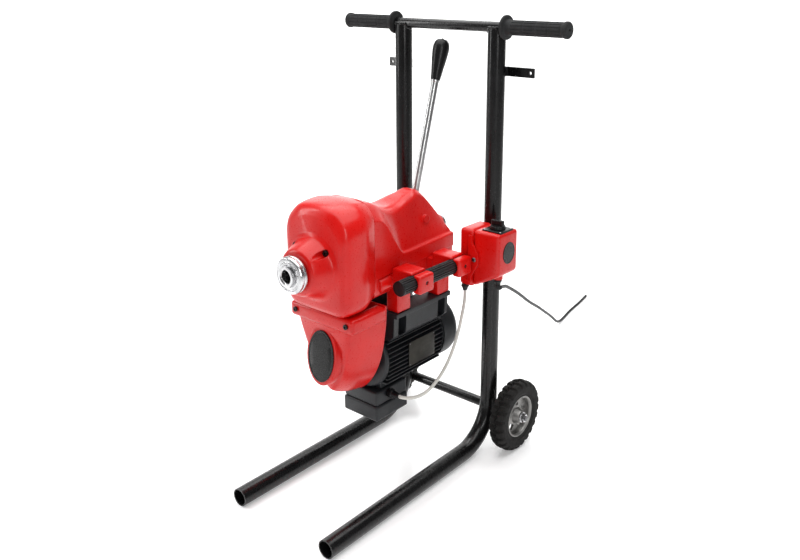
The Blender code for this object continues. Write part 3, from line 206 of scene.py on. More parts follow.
def motor_grey():
    """Dark grey paint over a grainy casting."""
    m = new_material("motor_grey", (0.010, 0.011, 0.013), 0.40, Specular_IOR_Level=0.40)
    grain = speckle(m, 420.0, 5.0, 0.7)
    feed(m, "Base Color", tint(m, speckle(m, 40.0, 6.0), 0.3, 0.7, (0.007, 0.008, 0.010), (0.016, 0.018, 0.021)))
    feed(m, "Roughness", ramp(m, grain, 0.3, 0.7, 0.34, 0.52))
    relief(m, (grain, 0.35, 0.0005), edge=0.0008)
    return m


def steel(name, colour, low, high, stretch, scale=300.0, strength=0.10):
    """Bare metal; low and high bound its roughness, stretch draws its lines out."""
    m = new_material(name, colour, (low + high) / 2, 1.0)
    lines = speckle(m, scale, 5.0, 0.7, stretch)
    dark = tuple(0.72 * c for c in colour)
    feed(m, "Base Color", tint(m, speckle(m, 55.0, 6.0), 0.35, 0.7, colour, dark))
    feed(m, "Roughness", ramp(m, lines, 0.3, 0.7, low, high))
    relief(m, (lines, strength, 0.0003))
    return m


def rubber(name, colour, scale, strength, roughness=0.72):
    """Dull grainy rubber with lighter, dusty patches."""
    m = new_material(name, colour, roughness, Specular_IOR_Level=0.25)
    grain = speckle(m, scale, 6.0, 0.7)
    lighter = tuple(2.0 * c + 0.002 for c in colour)
    feed(m, "Base Color", tint(m, speckle(m, 45.0, 8.0, 0.7), 0.35, 0.75, colour, lighter))
    feed(m, "Roughness", ramp(m, grain, 0.3, 0.7, roughness - 0.12, roughness + 0.12))
    relief(m, (grain, strength, 0.0005))
    return m


def plastic(name, colour, roughness, scale=500.0, strength=0.15):
    """Moulded plastic with a fine grain and eased edges."""
    m = new_material(name, colour, roughness, Specular_IOR_Level=0.3)
    grain = speckle(m, scale, 3.0)
    darker = tuple(0.8 * c for c in colour)
    feed(m, "Base Color", tint(m, speckle(m, 30.0, 5.0), 0.3, 0.7, colour, darker))
    feed(m, "Roughness", ramp(m, grain, 0.3, 0.7, roughness - 0.06, roughness + 0.08))
    relief(m, (grain, strength, 0.0003), edge=0.0007)
    return m


FINISH = {
    "red_paint": red_paint(),
    "black_paint": black_paint(),
    "motor_grey": motor_grey(),
    "bright_steel": steel("bright_steel", (0.66, 0.66, 0.67), 0.14, 0.30, (1, 0.06, 1)),
    "lever_steel": steel("lever_steel", (0.62, 0.62, 0.62), 0.22, 0.40, (1, 0.3, 0.05)),
    "dark_steel": steel("dark_steel", (0.16, 0.16, 0.165), 0.30, 0.50, (1, 1, 1), 200.0),
    "rim_steel": steel("rim_steel", (0.30, 0.295, 0.285), 0.34, 0.55, (1, 1, 1), 120.0),
    "plate_metal": steel("plate_metal", (0.055, 0.052, 0.046), 0.35, 0.50, (1, 0.1, 1)),
    "grip_rubber": rubber("grip_rubber", (0.014, 0.0145, 0.015), 600.0, 0.5),
    "sleeve_rubber": rubber("sleeve_rubber", (0.004, 0.004, 0.0045), 500.0, 0.15, 0.36),
    "tyre_rubber": rubber("tyre_rubber", (0.009, 0.0085, 0.008), 350.0, 0.6, 0.80),
    "belt_rubber": rubber("belt_rubber", (0.016, 0.016, 0.016), 500.0, 0.3),
    "black_plastic": plastic("black_plastic", (0.005, 0.005, 0.0055), 0.30),
    "cord_rubber": rubber("cord_rubber", (0.012, 0.012, 0.013), 700.0, 0.2, 0.55),
    "emblem_black": plastic("emblem_black", (0.004, 0.004, 0.004), 0.25),
    "white_cable": plastic("white_cable", (0.70, 0.69, 0.64), 0.38, 200.0, 0.2),
}


# ---- shape helpers ------------------------------------------------------------------------------
def new_object(name, mesh):
    obj = bpy.data.objects.new(name, mesh)
    bpy.context.scene.collection.objects.link(obj)
    return obj


def outward(mesh, weld=0.0):
    """Merge points closer than weld, and turn the faces outwards."""
    bm = bmesh.new()
    bm.from_mesh(mesh)
    if weld:
        bmesh.ops.remove_doubles(bm, verts=bm.verts, dist=weld)
    bmesh.ops.recalc_face_normals(bm, faces=bm.faces)
    bm.to_mesh(mesh)
    bm.free()


def solid(name, bm, matrix=None):
    """The object made of a bmesh, moved by matrix, with its faces turned outwards."""
    mesh = bpy.data.meshes.new(name)
    bm.to_mesh(mesh)
    bm.free()
    if matrix:
        mesh.transform(matrix)
    outward(mesh)
    return new_object(name, mesh)


def skin(bm, rows):
    """Faces between each closed row of points and the next."""
    for row, following in zip(rows, rows[1:]):
        for i in range(len(row)):
            j = (i + 1) % len(row)
            bm.faces.new((row[i], row[j], following[j], following[i]))


def evaluated_mesh(obj):
    """The object's mesh with its modifiers, or its curve's, as they stand now."""
    bpy.context.view_layer.update()
    return bpy.data.meshes.new_from_object(obj.evaluated_get(bpy.context.evaluated_depsgraph_get()))


def baked(obj, weld=0.0):
    """Turn an object with its modifiers, or a curve, into a plain mesh object."""
    mesh = evaluated_mesh(obj)
    outward(mesh, weld)
    name = obj.name
    bpy.data.objects.remove(obj, do_unlink=True)
    return new_object(name, mesh)


def bevelled(obj, width, segments):
    """The object with its edges rounded."""
    rounding = obj.modifiers.new("rounding", "BEVEL")
    rounding.width, rounding.segments = width, segments
    return baked(obj)


def box(name, low, high, bevel=0.0, segments=3):
    """A box between two corners, its edges rounded where bevel is given."""
    bm = bmesh.new()
    bmesh.ops.create_cube(bm, size=1.0)
    bmesh.ops.scale(bm, verts=bm.verts, vec=[b - a for a, b in zip(low, high)])
    bmesh.ops.translate(bm, verts=bm.verts, vec=[(a + b) / 2 for a, b in zip(low, high)])
    obj = solid(name, bm)
    return bevelled(obj, bevel, segments) if bevel else obj


def spot(axis, centre):
    """Matrix that stands a Z-built shape on a row axis through centre."""
    at = list(centre)
    at.insert("XYZ".index(axis), 0.0)
    return Matrix.Translation(at) @ ALONG[axis]


def cylinder(name, axis, centre, start, end, radius, sides=64):
    """A cylinder along a row axis; centre holds its two other coordinates."""
    bm = bmesh.new()
    bmesh.ops.create_cone(bm, cap_ends=True, segments=sides, radius1=radius, radius2=radius,
                          depth=end - start)
    bmesh.ops.translate(bm, verts=bm.verts, vec=(0, 0, (start + end) / 2))
    return solid(name, bm, spot(axis, centre))


def rounded(profile, radius, steps=3):
    """A closed (radius, height) profile with its corners rounded; points on the axis stay."""
    count, made = len(profile), []
    for i, point in enumerate(profile):
        p = Vector(point)
        a, b = Vector(profile[i - 1]) - p, Vector(profile[(i + 1) % count]) - p
        near_axis = p.x < 1e-6
        cut_back = min(radius, 0.4 * a.length, 0.4 * b.length)
        if near_axis or cut_back < 1e-5 or abs(a.normalized().dot(b.normalized()) + 1) < 0.02:
            made.append(tuple(p))
            continue
        first, last = p + a.normalized() * cut_back, p + b.normalized() * cut_back
        for k in range(steps + 1):
            t = k / steps
            made.append(tuple(first * (1 - t) ** 2 + p * 2 * t * (1 - t) + last * t * t))
    return made


def turned(name, axis, centre, profile, sides=96, radius=0.0006):
    """A turned piece from a closed loop of (radius, place along the axis), with eased edges."""
    if radius:
        profile = rounded(profile, radius)
    bm = bmesh.new()
    rows = []
    for r, height in profile:
        if r < 1e-6:
            rows.append([bm.verts.new((0, 0, height))])
        else:
            rows.append([bm.verts.new((r * cos(2 * pi * k / sides), r * sin(2 * pi * k / sides), height))
                         for k in range(sides)])
    pairs = list(zip(rows, rows[1:]))
    if len(rows[0]) > 1 or len(rows[-1]) > 1:
        pairs.append((rows[-1], rows[0]))
    for row, following in pairs:
        for k in range(sides):
            j = (k + 1) % sides
            corners = [row[k % len(row)], row[j % len(row)], following[j % len(following)],
                       following[k % len(following)]]
            unique = list(dict.fromkeys(corners))
            if len(unique) > 2:
                bm.faces.new(unique)
    return solid(name, bm, spot(axis, centre))


def ring(name, axis, centre, start, end, inner, outer, sides=96, radius=0.0006):
    """A turned sleeve from start to end along its axis."""
    return turned(name, axis, centre, [(outer, end), (outer, start), (inner, start), (inner, end)], sides, radius)


def bar_curve(name, route, radius, resolution, widths=None, closed=False):
    """A curve of one straight-spanned spline with a round section; widths scale it point by point."""
    curve = bpy.data.curves.new(name, "CURVE")
    curve.dimensions = "3D"
    curve.bevel_depth, curve.bevel_resolution, curve.use_fill_caps = radius, resolution, not closed
    line = curve.splines.new("POLY")
    line.points.add(len(route) - 1)
    line.use_cyclic_u, line.use_smooth = closed, True
    for point, at, width in zip(line.points, route, widths or [1.0] * len(route)):
        point.co, point.radius = (*at, 1), width
    return new_object(name, curve)


def plate(name, outline, thickness, matrix):
    """A flat outline in XY, drawn out to both sides of its plane, moved by matrix."""
    bm = bmesh.new()
    low, high = ([bm.verts.new((u, v, w)) for u, v in outline] for w in (-thickness / 2, thickness / 2))
    bm.faces.new(list(reversed(low)))
    bm.faces.new(high)
    skin(bm, (low, high))
    return solid(name, bm, matrix)


def profile_along_y(name, outline, y0, y1):
    """An outline of (x, z) points drawn out from y0 to y1."""
    return plate(name, outline, y1 - y0,
                 Matrix.Translation((0, (y0 + y1) / 2, 0)) @ Matrix.Rotation(pi / 2, 4, "X"))


def spline(points, steps):
    """Catmull-Rom through the points, steps to a span."""
    ends = [2 * points[0] - points[1], *points, 2 * points[-1] - points[-2]]
    made = []
    for a, b, c, d in zip(ends, ends[1:], ends[2:], ends[3:]):
        for i in range(steps):
            t = i / steps
            made.append(0.5 * (2 * b + (c - a) * t + (2 * a - 5 * b + 4 * c - d) * t * t
                               + (3 * b - a - 3 * c + d) * t ** 3))
    return made + [points[-1]]


def loft(name, rings, steps=5):
    """A casting through open cross sections: a spline along it, ends capped."""
    rings = [[Vector(p) for p in one] for one in rings]
    lines = [spline(points, steps) for points in zip(*rings)]
    bm = bmesh.new()
    rows = [[bm.verts.new(line[k]) for line in lines] for k in range(len(lines[0]))]
    skin(bm, rows)
    caps = [bm.faces.new(rows[0]), bm.faces.new(rows[-1])]
    bmesh.ops.triangulate(bm, faces=caps)
    return solid(name, bm)


def is_closed(mesh):
    """True where every edge joins exactly two faces."""
    bm = bmesh.new()
    bm.from_mesh(mesh)
    closed = all(len(edge.link_faces) == 2 for edge in bm.edges)
    bm.free()
    return closed


def combined(obj, others, operation):
    """Join or cut; the other shapes are used up. Later solvers stand in where one leaves a gap."""
    for other in others:
        step = obj.modifiers.new("step", "BOOLEAN")
        step.operation, step.object = operation, other
        tried = []
        for solver, crossing_itself in (("EXACT", False), ("EXACT", True), ("MANIFOLD", False)):
            step.solver, step.use_self = solver, crossing_itself
            tried.append(evaluated_mesh(obj))
            if is_closed(tried[-1]) and 2 * len(tried[-1].vertices) > len(obj.data.vertices):
                break
        else:
            tried.append(tried[0])
        obj.modifiers.clear()
        obj.data = tried[-1]
        bpy.data.objects.remove(other, do_unlink=True)
    outward(obj.data)
    return obj


def cut(obj, *others):
    return combined(obj, others, "DIFFERENCE")


def join(obj, *others):
    return combined(obj, others, "UNION")


def gathered(name, members):
    """Several shapes in one object, without a Boolean."""
    bm = bmesh.new()
    for member in members:
        bm.from_mesh(member.data)
        bpy.data.objects.remove(member, do_unlink=True)
    mesh = bpy.data.meshes.new(name)
    bm.to_mesh(mesh)
    bm.free()
    return new_object(name, mesh)


def mirrored(obj, name):
    """The piece's mirror image across the middle plane."""
    mesh = obj.data.copy()
    mesh.transform(Matrix.Scale(-1, 4, (1, 0, 0)))
    outward(mesh)
    return new_object(name, mesh)


def detail(obj, name, finish, body="stand", smooth=32):
    """Name a finished piece, give it its finish and let it ride on its body."""
    obj.name = obj.data.name = name
    obj.data.transform(Matrix.Translation(SHIFT))
    obj.data.materials.clear()
    obj.data.materials.append(FINISH[finish])
    obj.data.shade_smooth()
    obj.data.set_sharp_from_angle(angle=radians(smooth))
    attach(obj, body)
    return obj


def done(obj, name, finish, body="stand", smooth=32):
    """A finished piece that stands for the CAD node of that name."""
    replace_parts(detail(obj, name + "_look", finish, body, smooth), name)


def pair(obj, stem, finish, body="stand"):
    """The right-hand piece and its mirror image; body may hold {} for the side's name."""
    left = mirrored(obj, stem + "_left")
    for side, piece in (("left", left), ("right", obj)):
        done(piece, f"{stem}_{side}", finish, body.format(side))


def arc(centre, radius, start, end, steps):
    """Points along an arc; start and end are in degrees."""
    angles = [radians(start + (end - start) * i / steps) for i in range(steps + 1)]
    return [(centre[0] + radius * cos(a), centre[1] + radius * sin(a)) for a in angles]


def body_half(y):
    """Half width of the head at y: it narrows to the rear."""
    t = (y - BODY_FRONT_Y) / (BODY_REAR_Y - BODY_FRONT_Y)
    return BODY_HALF_FRONT + (BODY_HALF_REAR - BODY_HALF_FRONT) * t


def carried(node_name, finish):
    """A CAD part that stays as it is and only gets its finish."""
    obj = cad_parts[node_name]
    obj.data.materials.clear()
    obj.data.materials.append(FINISH[finish])


def dense(profile, spacing):
    """The profile with points no further apart than spacing."""
    made = []
    for p, q in zip(profile, list(profile[1:]) + [profile[0]]):
        steps = max(1, int(Vector((q[0] - p[0], q[1] - p[1])).length / spacing))
        made += [(p[0] + (q[0] - p[0]) * k / steps, p[1] + (q[1] - p[1]) * k / steps) for k in range(steps)]
    return made


def pulse(t, width, edge):
    """1 inside the first part of each period and 0 after it, with soft edges."""
    t = t % 1.0
    return max(0.0, min(1.0, min(t, width - t) / edge))


def pressed(obj, axis, centre, depth):
    """Move the skin of a turned piece inwards by depth(radius, along, angle)."""
    back = spot(axis, centre)
    into = back.inverted()
    for vert in obj.data.vertices:
        p = into @ vert.co
        r = sqrt(p.x * p.x + p.y * p.y)
        if r > 1e-6:
            scale = (r - depth(r, p.z, atan2(p.y, p.x))) / r
            vert.co = back @ Vector((p.x * scale, p.y * scale, p.z))
    return obj


def eased(ring_points, radius, steps=4):
    """An open cross section whose inner corners are rounded, always with the same count of points."""
    points = [Vector(p) for p in ring_points]
    made = [points[0]]
    for a, p, b in zip(points, points[1:], points[2:]):
        back = min(radius, 0.45 * (a - p).length, 0.45 * (b - p).length)
        first, last = p + (a - p).normalized() * back, p + (b - p).normalized() * back
        for k in range(steps + 1):
            t = k / steps
            made.append(first * (1 - t) ** 2 + p * 2 * t * (1 - t) + last * t * t)
    return made + [points[-1]]


def bead(name, points, radius, seed=0.0):
    """A weld bead: a lumpy bar along a closed loop of points."""
    widths = [1.0 + 0.22 * sin(1.9 * i + seed) + 0.18 * noise.noise(Vector((0.9 * i, seed, 0)))
              for i in range(len(points))]
    return baked(bar_curve(name, points, radius, 4, widths, closed=True), CURVE_WELD)


def copies(original, matrices):
    """One object holding a copy of the original for each matrix; the original is used up."""
    placed = []
    for matrix in matrices:
        placed.append(new_object("copy", original.data.copy()))
        placed[-1].data.transform(matrix)
    bpy.data.objects.remove(original, do_unlink=True)
    return gathered("copies", placed)


def facing(at, direction):
    """Matrix that brings a piece built along +Z to a point, looking along direction."""
    turn = Vector((0, 0, 1)).rotation_difference(Vector(direction).normalized()).to_matrix().to_4x4()
    return Matrix.Translation(at) @ turn


def socket_screw(radius, height):
    """Head of a socket screw standing on z = 0."""
    head = turned("screw", "Z", (0, 0), [(0, 0), (radius, 0), (radius, height), (0, height)], 40, 0.0004)
    recess = cylinder("recess", "Z", (0, 0), 0.35 * height, height + 0.001, 0.52 * radius, 6)
    return cut(head, recess)


def cross_screw(radius, height):
    """Domed head with a cross recess, standing on z = 0."""
    profile = [(0, 0), (radius, 0), (radius, 0.35 * height), (0.8 * radius, 0.8 * height),
               (0.4 * radius, height), (0, height)]
    head = turned("screw", "Z", (0, 0), profile, 40, 0.0006)
    reach, width = 0.55 * radius, 0.11 * radius
    slots = [box("slot", (-a, -b, 0.4 * height), (a, b, height + 0.001)) for a, b in ((reach, width), (width, reach))]
    return cut(head, *slots)


# ---- the stand ----------------------------------------------------------------------------------
def stand_tube():
    """Upright, bend and foot in one bent tube, open at the foot's tip and coped under the top bar."""
    bend = arc((-BEND_R, TUBE_R + BEND_R), BEND_R, -90, 0, 28)
    route = [(HALF_SPAN, FOOT_TIP_Y, TUBE_R)] + [(HALF_SPAN, y, z) for y, z in bend]
    route.append((HALF_SPAN, 0, TOP_Z))
    body = baked(bar_curve("stand_tube", route, TUBE_R, 20), CURVE_WELD)
    bore = cylinder("bore", "Y", (HALF_SPAN, TUBE_R), FOOT_TIP_Y - 0.01, FOOT_TIP_Y + 0.18, TUBE_R - TUBE_WALL, 48)
    cope = cylinder("cope", "X", (0, TOP_Z), 0.08, 0.18, BAR_R, 48)
    return cut(body, bore, cope)


def bar_weld():
    """Weld where the support bar meets the upright's front."""
    points = []
    for i in range(40):
        u, v = ((SUPPORT_R + 0.0004) * f(2 * pi * i / 40) for f in (cos, sin))
        points.append((HALF_SPAN + u, -sqrt(TUBE_R * TUBE_R - u * u), SUPPORT_Z + v))
    return bead("weld", points, 0.0022, 2.0)


def top_weld():
    """Filled weld all round the top bar where it lies in the upright's end."""
    points = []
    for i in range(48):
        a = 2 * pi * i / 48
        y = TUBE_R * 0.93 * sin(a)
        dip = sqrt(max(BAR_R ** 2 - y * y, 0)) if abs(y) < BAR_R else 0.0
        points.append((HALF_SPAN + TUBE_R * 0.93 * cos(a), y, TOP_Z - 0.0012 - dip))
    return bead("weld", points, 0.0030, 0.7)


def cable_hook():
    """Flat strip welded behind the upright: back, round a bend and outward, with a hole near its end."""
    thickness, half_height, bend = 0.004, 0.010, 0.005
    y0, y1 = TUBE_R - 0.0015, 0.036
    def strip_line(offset):
        corner = arc((0.128 + bend, y1 - bend), bend - offset, 180, 90, 8)
        return [(0.128 + offset, y0)] + corner + [(0.198 - 0.0004, y1 - offset)]
    outline = strip_line(0.0) + list(reversed(strip_line(thickness)))
    strip = plate("hook", outline, 2 * half_height, Matrix.Translation((0, 0, HOOK_Z)))
    hole = cylinder("hole", "Y", (0.189, HOOK_Z), y0, y1 + 0.01, 0.0032, 32)
    return cut(strip, hole)


def grip():
    """Moulded grip: thumb flange, lengthwise ribs broken by rings, and an end collar."""
    bore = BAR_R
    profile = [(0.0025, GRIP_OUT - 0.002), (0.0032, GRIP_OUT), (0.0145, GRIP_OUT), (0.0172, GRIP_OUT - 0.003),
               (0.0172, GRIP_OUT - 0.008), (0.0156, GRIP_OUT - 0.011), (0.0156, GRIP_IN + 0.020),
               (0.0150, GRIP_IN + 0.019), (0.0165, GRIP_IN + 0.009), (0.025, GRIP_IN + 0.0065),
               (0.025, GRIP_IN + 0.001), (0.0235, GRIP_IN), (bore, GRIP_IN), (bore, BAR_HALF), (0.0025, BAR_HALF)]
    body = turned("grip", "X", (0, TOP_Z), dense(rounded(profile, 0.0012), 0.0011), 168, 0)

    def depth(r, along, angle):
        start, end = GRIP_IN + 0.022, GRIP_OUT - 0.013
        if r < 0.0135 or along < start or along > end:
            return 0.0
        rib = pulse(14 * angle / (2 * pi), 0.70, 0.10)
        pad = pulse((along - start) / (end - start) * 4 * 0.99999, 0.93, 0.03)
        return 0.0013 * (1 - rib * pad)
    return pressed(body, "X", (0, TOP_Z), depth)


def bar_sleeve():
    """Ribbed rubber sleeve over the support bar, closed in front."""
    front = SUPPORT_TIP_Y - 0.005
    profile = [(0, front), (SLEEVE_R, front), (SLEEVE_R, SLEEVE_REAR_Y), (SUPPORT_R, SLEEVE_REAR_Y),
               (SUPPORT_R, SUPPORT_TIP_Y), (0, SUPPORT_TIP_Y)]
    body = turned("sleeve", "Y", (HALF_SPAN, SUPPORT_Z), dense(rounded(profile, 0.0016), 0.003), 240, 0)

    def depth(r, along, angle):
        if r < 0.014 or along < front + 0.003:
            return 0.0
        return 0.0012 * (0.5 - 0.5 * cos(20 * angle))
    return pressed(body, "Y", (HALF_SPAN, SUPPORT_Z), depth)


def build_stand():
    done(ring("bar", "X", (0, TOP_Z), -BAR_HALF + 0.004, BAR_HALF - 0.004, 0.009, BAR_R, 64), "top_bar",
         "black_paint")
    hook_weld = bead("weld", [(0.130 + 0.0045 * a, TUBE_R - 0.0005, HOOK_Z + b * 0.0105)
                              for a, b in arc((0, 0), 1.0, 0, 345, 23)], 0.0013, 4.0)
    pair(gathered("frame", [stand_tube(), cable_hook(), top_weld(), bar_weld(), hook_weld]),
         "frame_tube", "black_paint")
    pair(grip(), "grip", "grip_rubber")
    end, bore, neck = 0.1625, AXLE_R + 0.001, 0.0092
    outline = [(neck, end), (neck, 0.150), (BAR_R, 0.150), (BAR_R, -0.150), (neck, -0.150),
               (neck, -end), (bore, -end), (bore, end)]
    done(turned("tube", "X", (AXLE_Y, WHEEL_R), outline, 64), "axle_tube", "black_paint")
    rod = [(0, -0.214), (AXLE_R, -0.214), (AXLE_R, 0.214), (0, 0.214)]
    axle = turned("rod", "X", (AXLE_Y, WHEEL_R), dense(rounded(rod, 0.0008), 0.012), 48, 0)
    done(axle, "axle_rod", "dark_steel")
    bar = ring("bar", "Y", (HALF_SPAN, SUPPORT_Z), SUPPORT_TIP_Y, -0.0135, SUPPORT_R - TUBE_WALL, SUPPORT_R, 64)
    saddle = cylinder("saddle", "Z", (HALF_SPAN, 0), SUPPORT_Z - 0.03, SUPPORT_Z + 0.03, TUBE_R, 64)
    pair(cut(bar, saddle), "support_bar", "black_paint")
    pair(bar_sleeve(), "bar_sleeve", "sleeve_rubber")


# ---- the wheels ---------------------------------------------------------------------------------
def tyre():
    """Cushion tyre with staggered tread blocks, a zigzag middle groove and side lugs."""
    half, seat, floor, blocks = WHEEL_W / 2, 0.0480, 0.0695, 24
    profile = [(WHEEL_R - 0.0055, half - 0.0012), (WHEEL_R - 0.002, half - 0.005), (WHEEL_R, half - 0.011),
               (WHEEL_R, -half + 0.011), (WHEEL_R - 0.002, -half + 0.005), (WHEEL_R - 0.0055, -half + 0.0012),
               (0.069, -half), (0.0560, -half + 0.0005), (0.0535, -half + 0.0022), (seat, -half + 0.003),
               (seat, half - 0.003), (0.0535, half - 0.0022), (0.0560, half - 0.0005), (0.069, half)]
    profile = dense(rounded(profile, 0.0015), 0.0010)
    body = turned("tyre", "X", (AXLE_Y, WHEEL_R), [(r, WHEEL_X + t) for r, t in profile], 24 * 18, 0)

    def depth(r, along, angle):
        if r < floor:
            return 0.0
        t = along - WHEEL_X
        turn = blocks * angle / (2 * pi)
        side = 0.5 if t > 0 else 0.0
        block = pulse(turn + side + 9.0 * abs(t), 0.66, 0.07)
        weave = 0.0032 * (abs(((turn + 0.25) % 1.0) - 0.5) * 4 - 1)
        middle = min(1.0, max(0.0, (abs(t - weave) - 0.0010) / 0.0006))
        fade = min(1.0, (r - floor) / 0.004)
        return 0.0042 * fade * (1 - block * middle)
    return pressed(body, "X", (AXLE_Y, WHEEL_R), depth)


def rim():
    """Wheel rim with a web, five windows and a hub barrel."""
    x0, half = WHEEL_X, WHEEL_W / 2
    bore = AXLE_R + 0.0002
    profile = [(0.0480, half - 0.003), (0.0480, -half + 0.003), (0.0450, -half + 0.003),
               (0.0420, -half + 0.008), (0.0420, -0.002), (0.0180, -0.004), (0.0130, -half),
               (bore, -half), (bore, half), (0.0130, half), (0.0180, 0.004), (0.0420, 0.002),
               (0.0420, half - 0.008), (0.0450, half - 0.003)]
    body = turned("rim", "X", (AXLE_Y, WHEEL_R), rounded([(r, x0 + t) for r, t in profile], 0.0012), 120, 0)
    windows = []
    for i in range(5):
        window = box("window", (x0 - 0.01, -0.0085, 0.0225), (x0 + 0.01, 0.0085, 0.0360), 0.003, 4)
        turn = Matrix.Translation((0, AXLE_Y, WHEEL_R)) @ Matrix.Rotation(2 * pi * i / 5, 4, "X")
        window.data.transform(turn)
        windows.append(window)
    return cut(body, *windows)


def build_wheels():
    pair(tyre(), "tyre", "tyre_rubber", "wheel_{}")
    pair(rim(), "rim", "rim_steel", "wheel_{}")
    centre = (AXLE_Y, WHEEL_R)
    flange = turned("flange", "X", centre, [(AXLE_R, 0.2015), (0.012, 0.2015), (0.012, 0.2040), (AXLE_R, 0.2040)], 64)
    hexagon = cylinder("hexagon", "X", centre, 0.2039, 0.2110, 0.0100, 6)
    crown = turned("crown", "X", centre, [(0, 0.2030), (0.0104, 0.2030), (0.0104, 0.2096), (0.0088, 0.2110),
                                          (0, 0.2110)], 64, 0)
    bore = cylinder("bore", "X", centre, 0.19, 0.22, AXLE_R, 48)
    hexagon = combined(hexagon, [crown], "INTERSECT")
    pair(gathered("nut", [flange, cut(hexagon, bore)]), "axle_nut", "bright_steel")


# ---- the machine head ---------------------------------------------------------------------------
# the hump: y, shoulder height, hump half width at the shoulder, crest half width, crest height
HUMP = ((-0.318, 0.600, 0.0715, 0.0500, 0.634), (-0.285, 0.588, 0.0690, 0.0480, 0.622),
        (-0.255, 0.548, 0.0640, 0.0460, 0.606), (-0.230, 0.516, 0.0600, 0.0430, 0.599),
        (-0.205, 0.510, 0.0570, 0.0390, 0.600), (-0.160, 0.510, 0.0530, 0.0310, 0.609),
        (-0.116, 0.510, 0.0500, 0.0250, 0.608), (-0.045, 0.510, 0.0460, 0.0420, 0.522))


def hump_ring(y, shoulder, base, crest, top, inset, low):
    """One cross section of the top cover, or of its hollow when inset is the wall."""
    side = min(body_half(y), 0.072) - inset
    half = [(side, low), (side, shoulder - inset), (base - inset, shoulder + 0.0015 - inset),
            (crest - 0.6 * inset, top - 0.006 - inset), (crest - 0.008 - 0.4 * inset, top - inset),
            (0.5 * crest, top + 0.003 - inset)]
    points = half + [(-x, z) for x, z in reversed(half)]
    return eased([(x, y, z) for x, z in points], 0.010)


def top_cover():
    """Rear cover: shoulders, the hump with the lever slot and the boss round the spindle's end."""
    outer = loft("top_cover", [hump_ring(*row, 0.0, SEAM_Z + 0.0003) for row in HUMP])
    front, rear = HUMP[0], HUMP[-1]
    rows = [(front[0] - 0.01, *front[1:])] + list(HUMP[1:-1])
    rows.append((rear[0] - 0.005, rear[1], rear[2], rear[3], rear[4] + 0.004))
    hollow = loft("hollow", [hump_ring(*row, WALL, SEAM_Z - 0.01) for row in rows])
    boss = turned("boss", "Y", (0, AXIS_Z), [(0, -0.0740), (0.0216, -0.0740), (0.0216, -0.0340), (0, -0.0340)],
                  72, 0.0020)
    tail_bore = cylinder("tail_bore", "Y", (0, AXIS_Z), -0.09, -0.02, SPINDLE_TAIL_R + 0.0006, 64)
    bosses = [cylinder("pin_boss", "X", (PIVOT_Y, PIVOT_Z), side * 0.0375 - 0.0065, side * 0.0375 + 0.0065,
                       0.009, 48) for side in (-1, 1)]
    slot = box("slot", (-0.011, -0.1225, AXIS_Z + 0.0235), (0.011, -0.02, 0.64), 0.006, 5)
    rear_way = cylinder("rear_way", "Y", (0, AXIS_Z), -0.06, -0.02, 0.0200, 64)
    return gathered("top_cover", [cut(outer, hollow, slot, rear_way), cut(boss, tail_bore), *bosses])


def foot_bolt_places():
    """The middle of each leg along y."""
    return [(y0 + y1) / 2 for y0, y1 in LEG_Y]


def main_body():
    """Lower casting: trough, clamp arms, four legs for the motor and the rear bearing pedestal."""
    def trough_ring(y, inset, low, high):
        half = body_half(y) - 0.003 - inset
        ring_points = [(half, y, high), (half, y, low), (-half, y, low), (-half, y, high)]
        return eased(ring_points, 0.009, 6)
    outer = loft("main_body", [trough_ring(BODY_FRONT_Y, 0, BODY_LOW_Z, SEAM_Z - 0.0003),
                               trough_ring(BODY_REAR_Y, 0, BODY_LOW_Z, SEAM_Z - 0.0003)])
    hollow = loft("hollow", [trough_ring(BODY_FRONT_Y - 0.01, 0.005, BODY_LOW_Z + 0.006, SEAM_Z + 0.01),
                             trough_ring(BODY_REAR_Y - 0.006, 0.005, BODY_LOW_Z + 0.006, SEAM_Z + 0.01)])
    body = cut(outer, hollow)
    added = []
    for side in (-1, 1):
        def span(a, b):
            return sorted((side * a, side * b))
        for (y0, y1), (leg0, leg1) in zip(CLAMP_Y, LEG_Y):
            x0, x1 = span(0.0735, HALF_SPAN - 0.0003)
            added.append(box("arm", (x0, y0, SUPPORT_Z - 0.0205), (x1, y1, SUPPORT_Z + 0.0205), 0.004, 4))
            x0, x1 = span(0.058, 0.0790)
            added.append(box("root", (x0, y0 + 0.001, SUPPORT_Z - 0.019), (x1, y1 - 0.001, SEAM_Z - 0.0005)))
            x0, x1 = span(*LEG_X)
            added.append(box("leg", (x0, leg0, FOOT_Z + 0.0003), (x1, leg1, SUPPORT_Z - 0.012), 0.003, 3))
        rail = [(0, -0.304), (0.0155, -0.304), (0.0155, -0.205), (0, -0.205)]
        added.append(turned("rail", "Y", (side * 0.0615, 0.4625), rounded(rail, 0.006, 6), 48, 0))
    added.append(cylinder("pedestal", "Y", (0, AXIS_Z), -0.098, -0.084, 0.036, 72))
    added.append(box("web", (-0.026, -0.098, BODY_LOW_Z + 0.003), (0.026, -0.084, AXIS_Z - 0.02)))
    body = join(body, *added)
    cuts = [cylinder("seat", "Y", (0, AXIS_Z), -0.11, -0.07, 0.030, 72)]
    for side in (-1, 1):
        cuts.append(cylinder("bar_bore", "Y", (side * HALF_SPAN, SUPPORT_Z), -0.30, -0.09, SLEEVE_R, 72))
    return cut(body, *cuts)


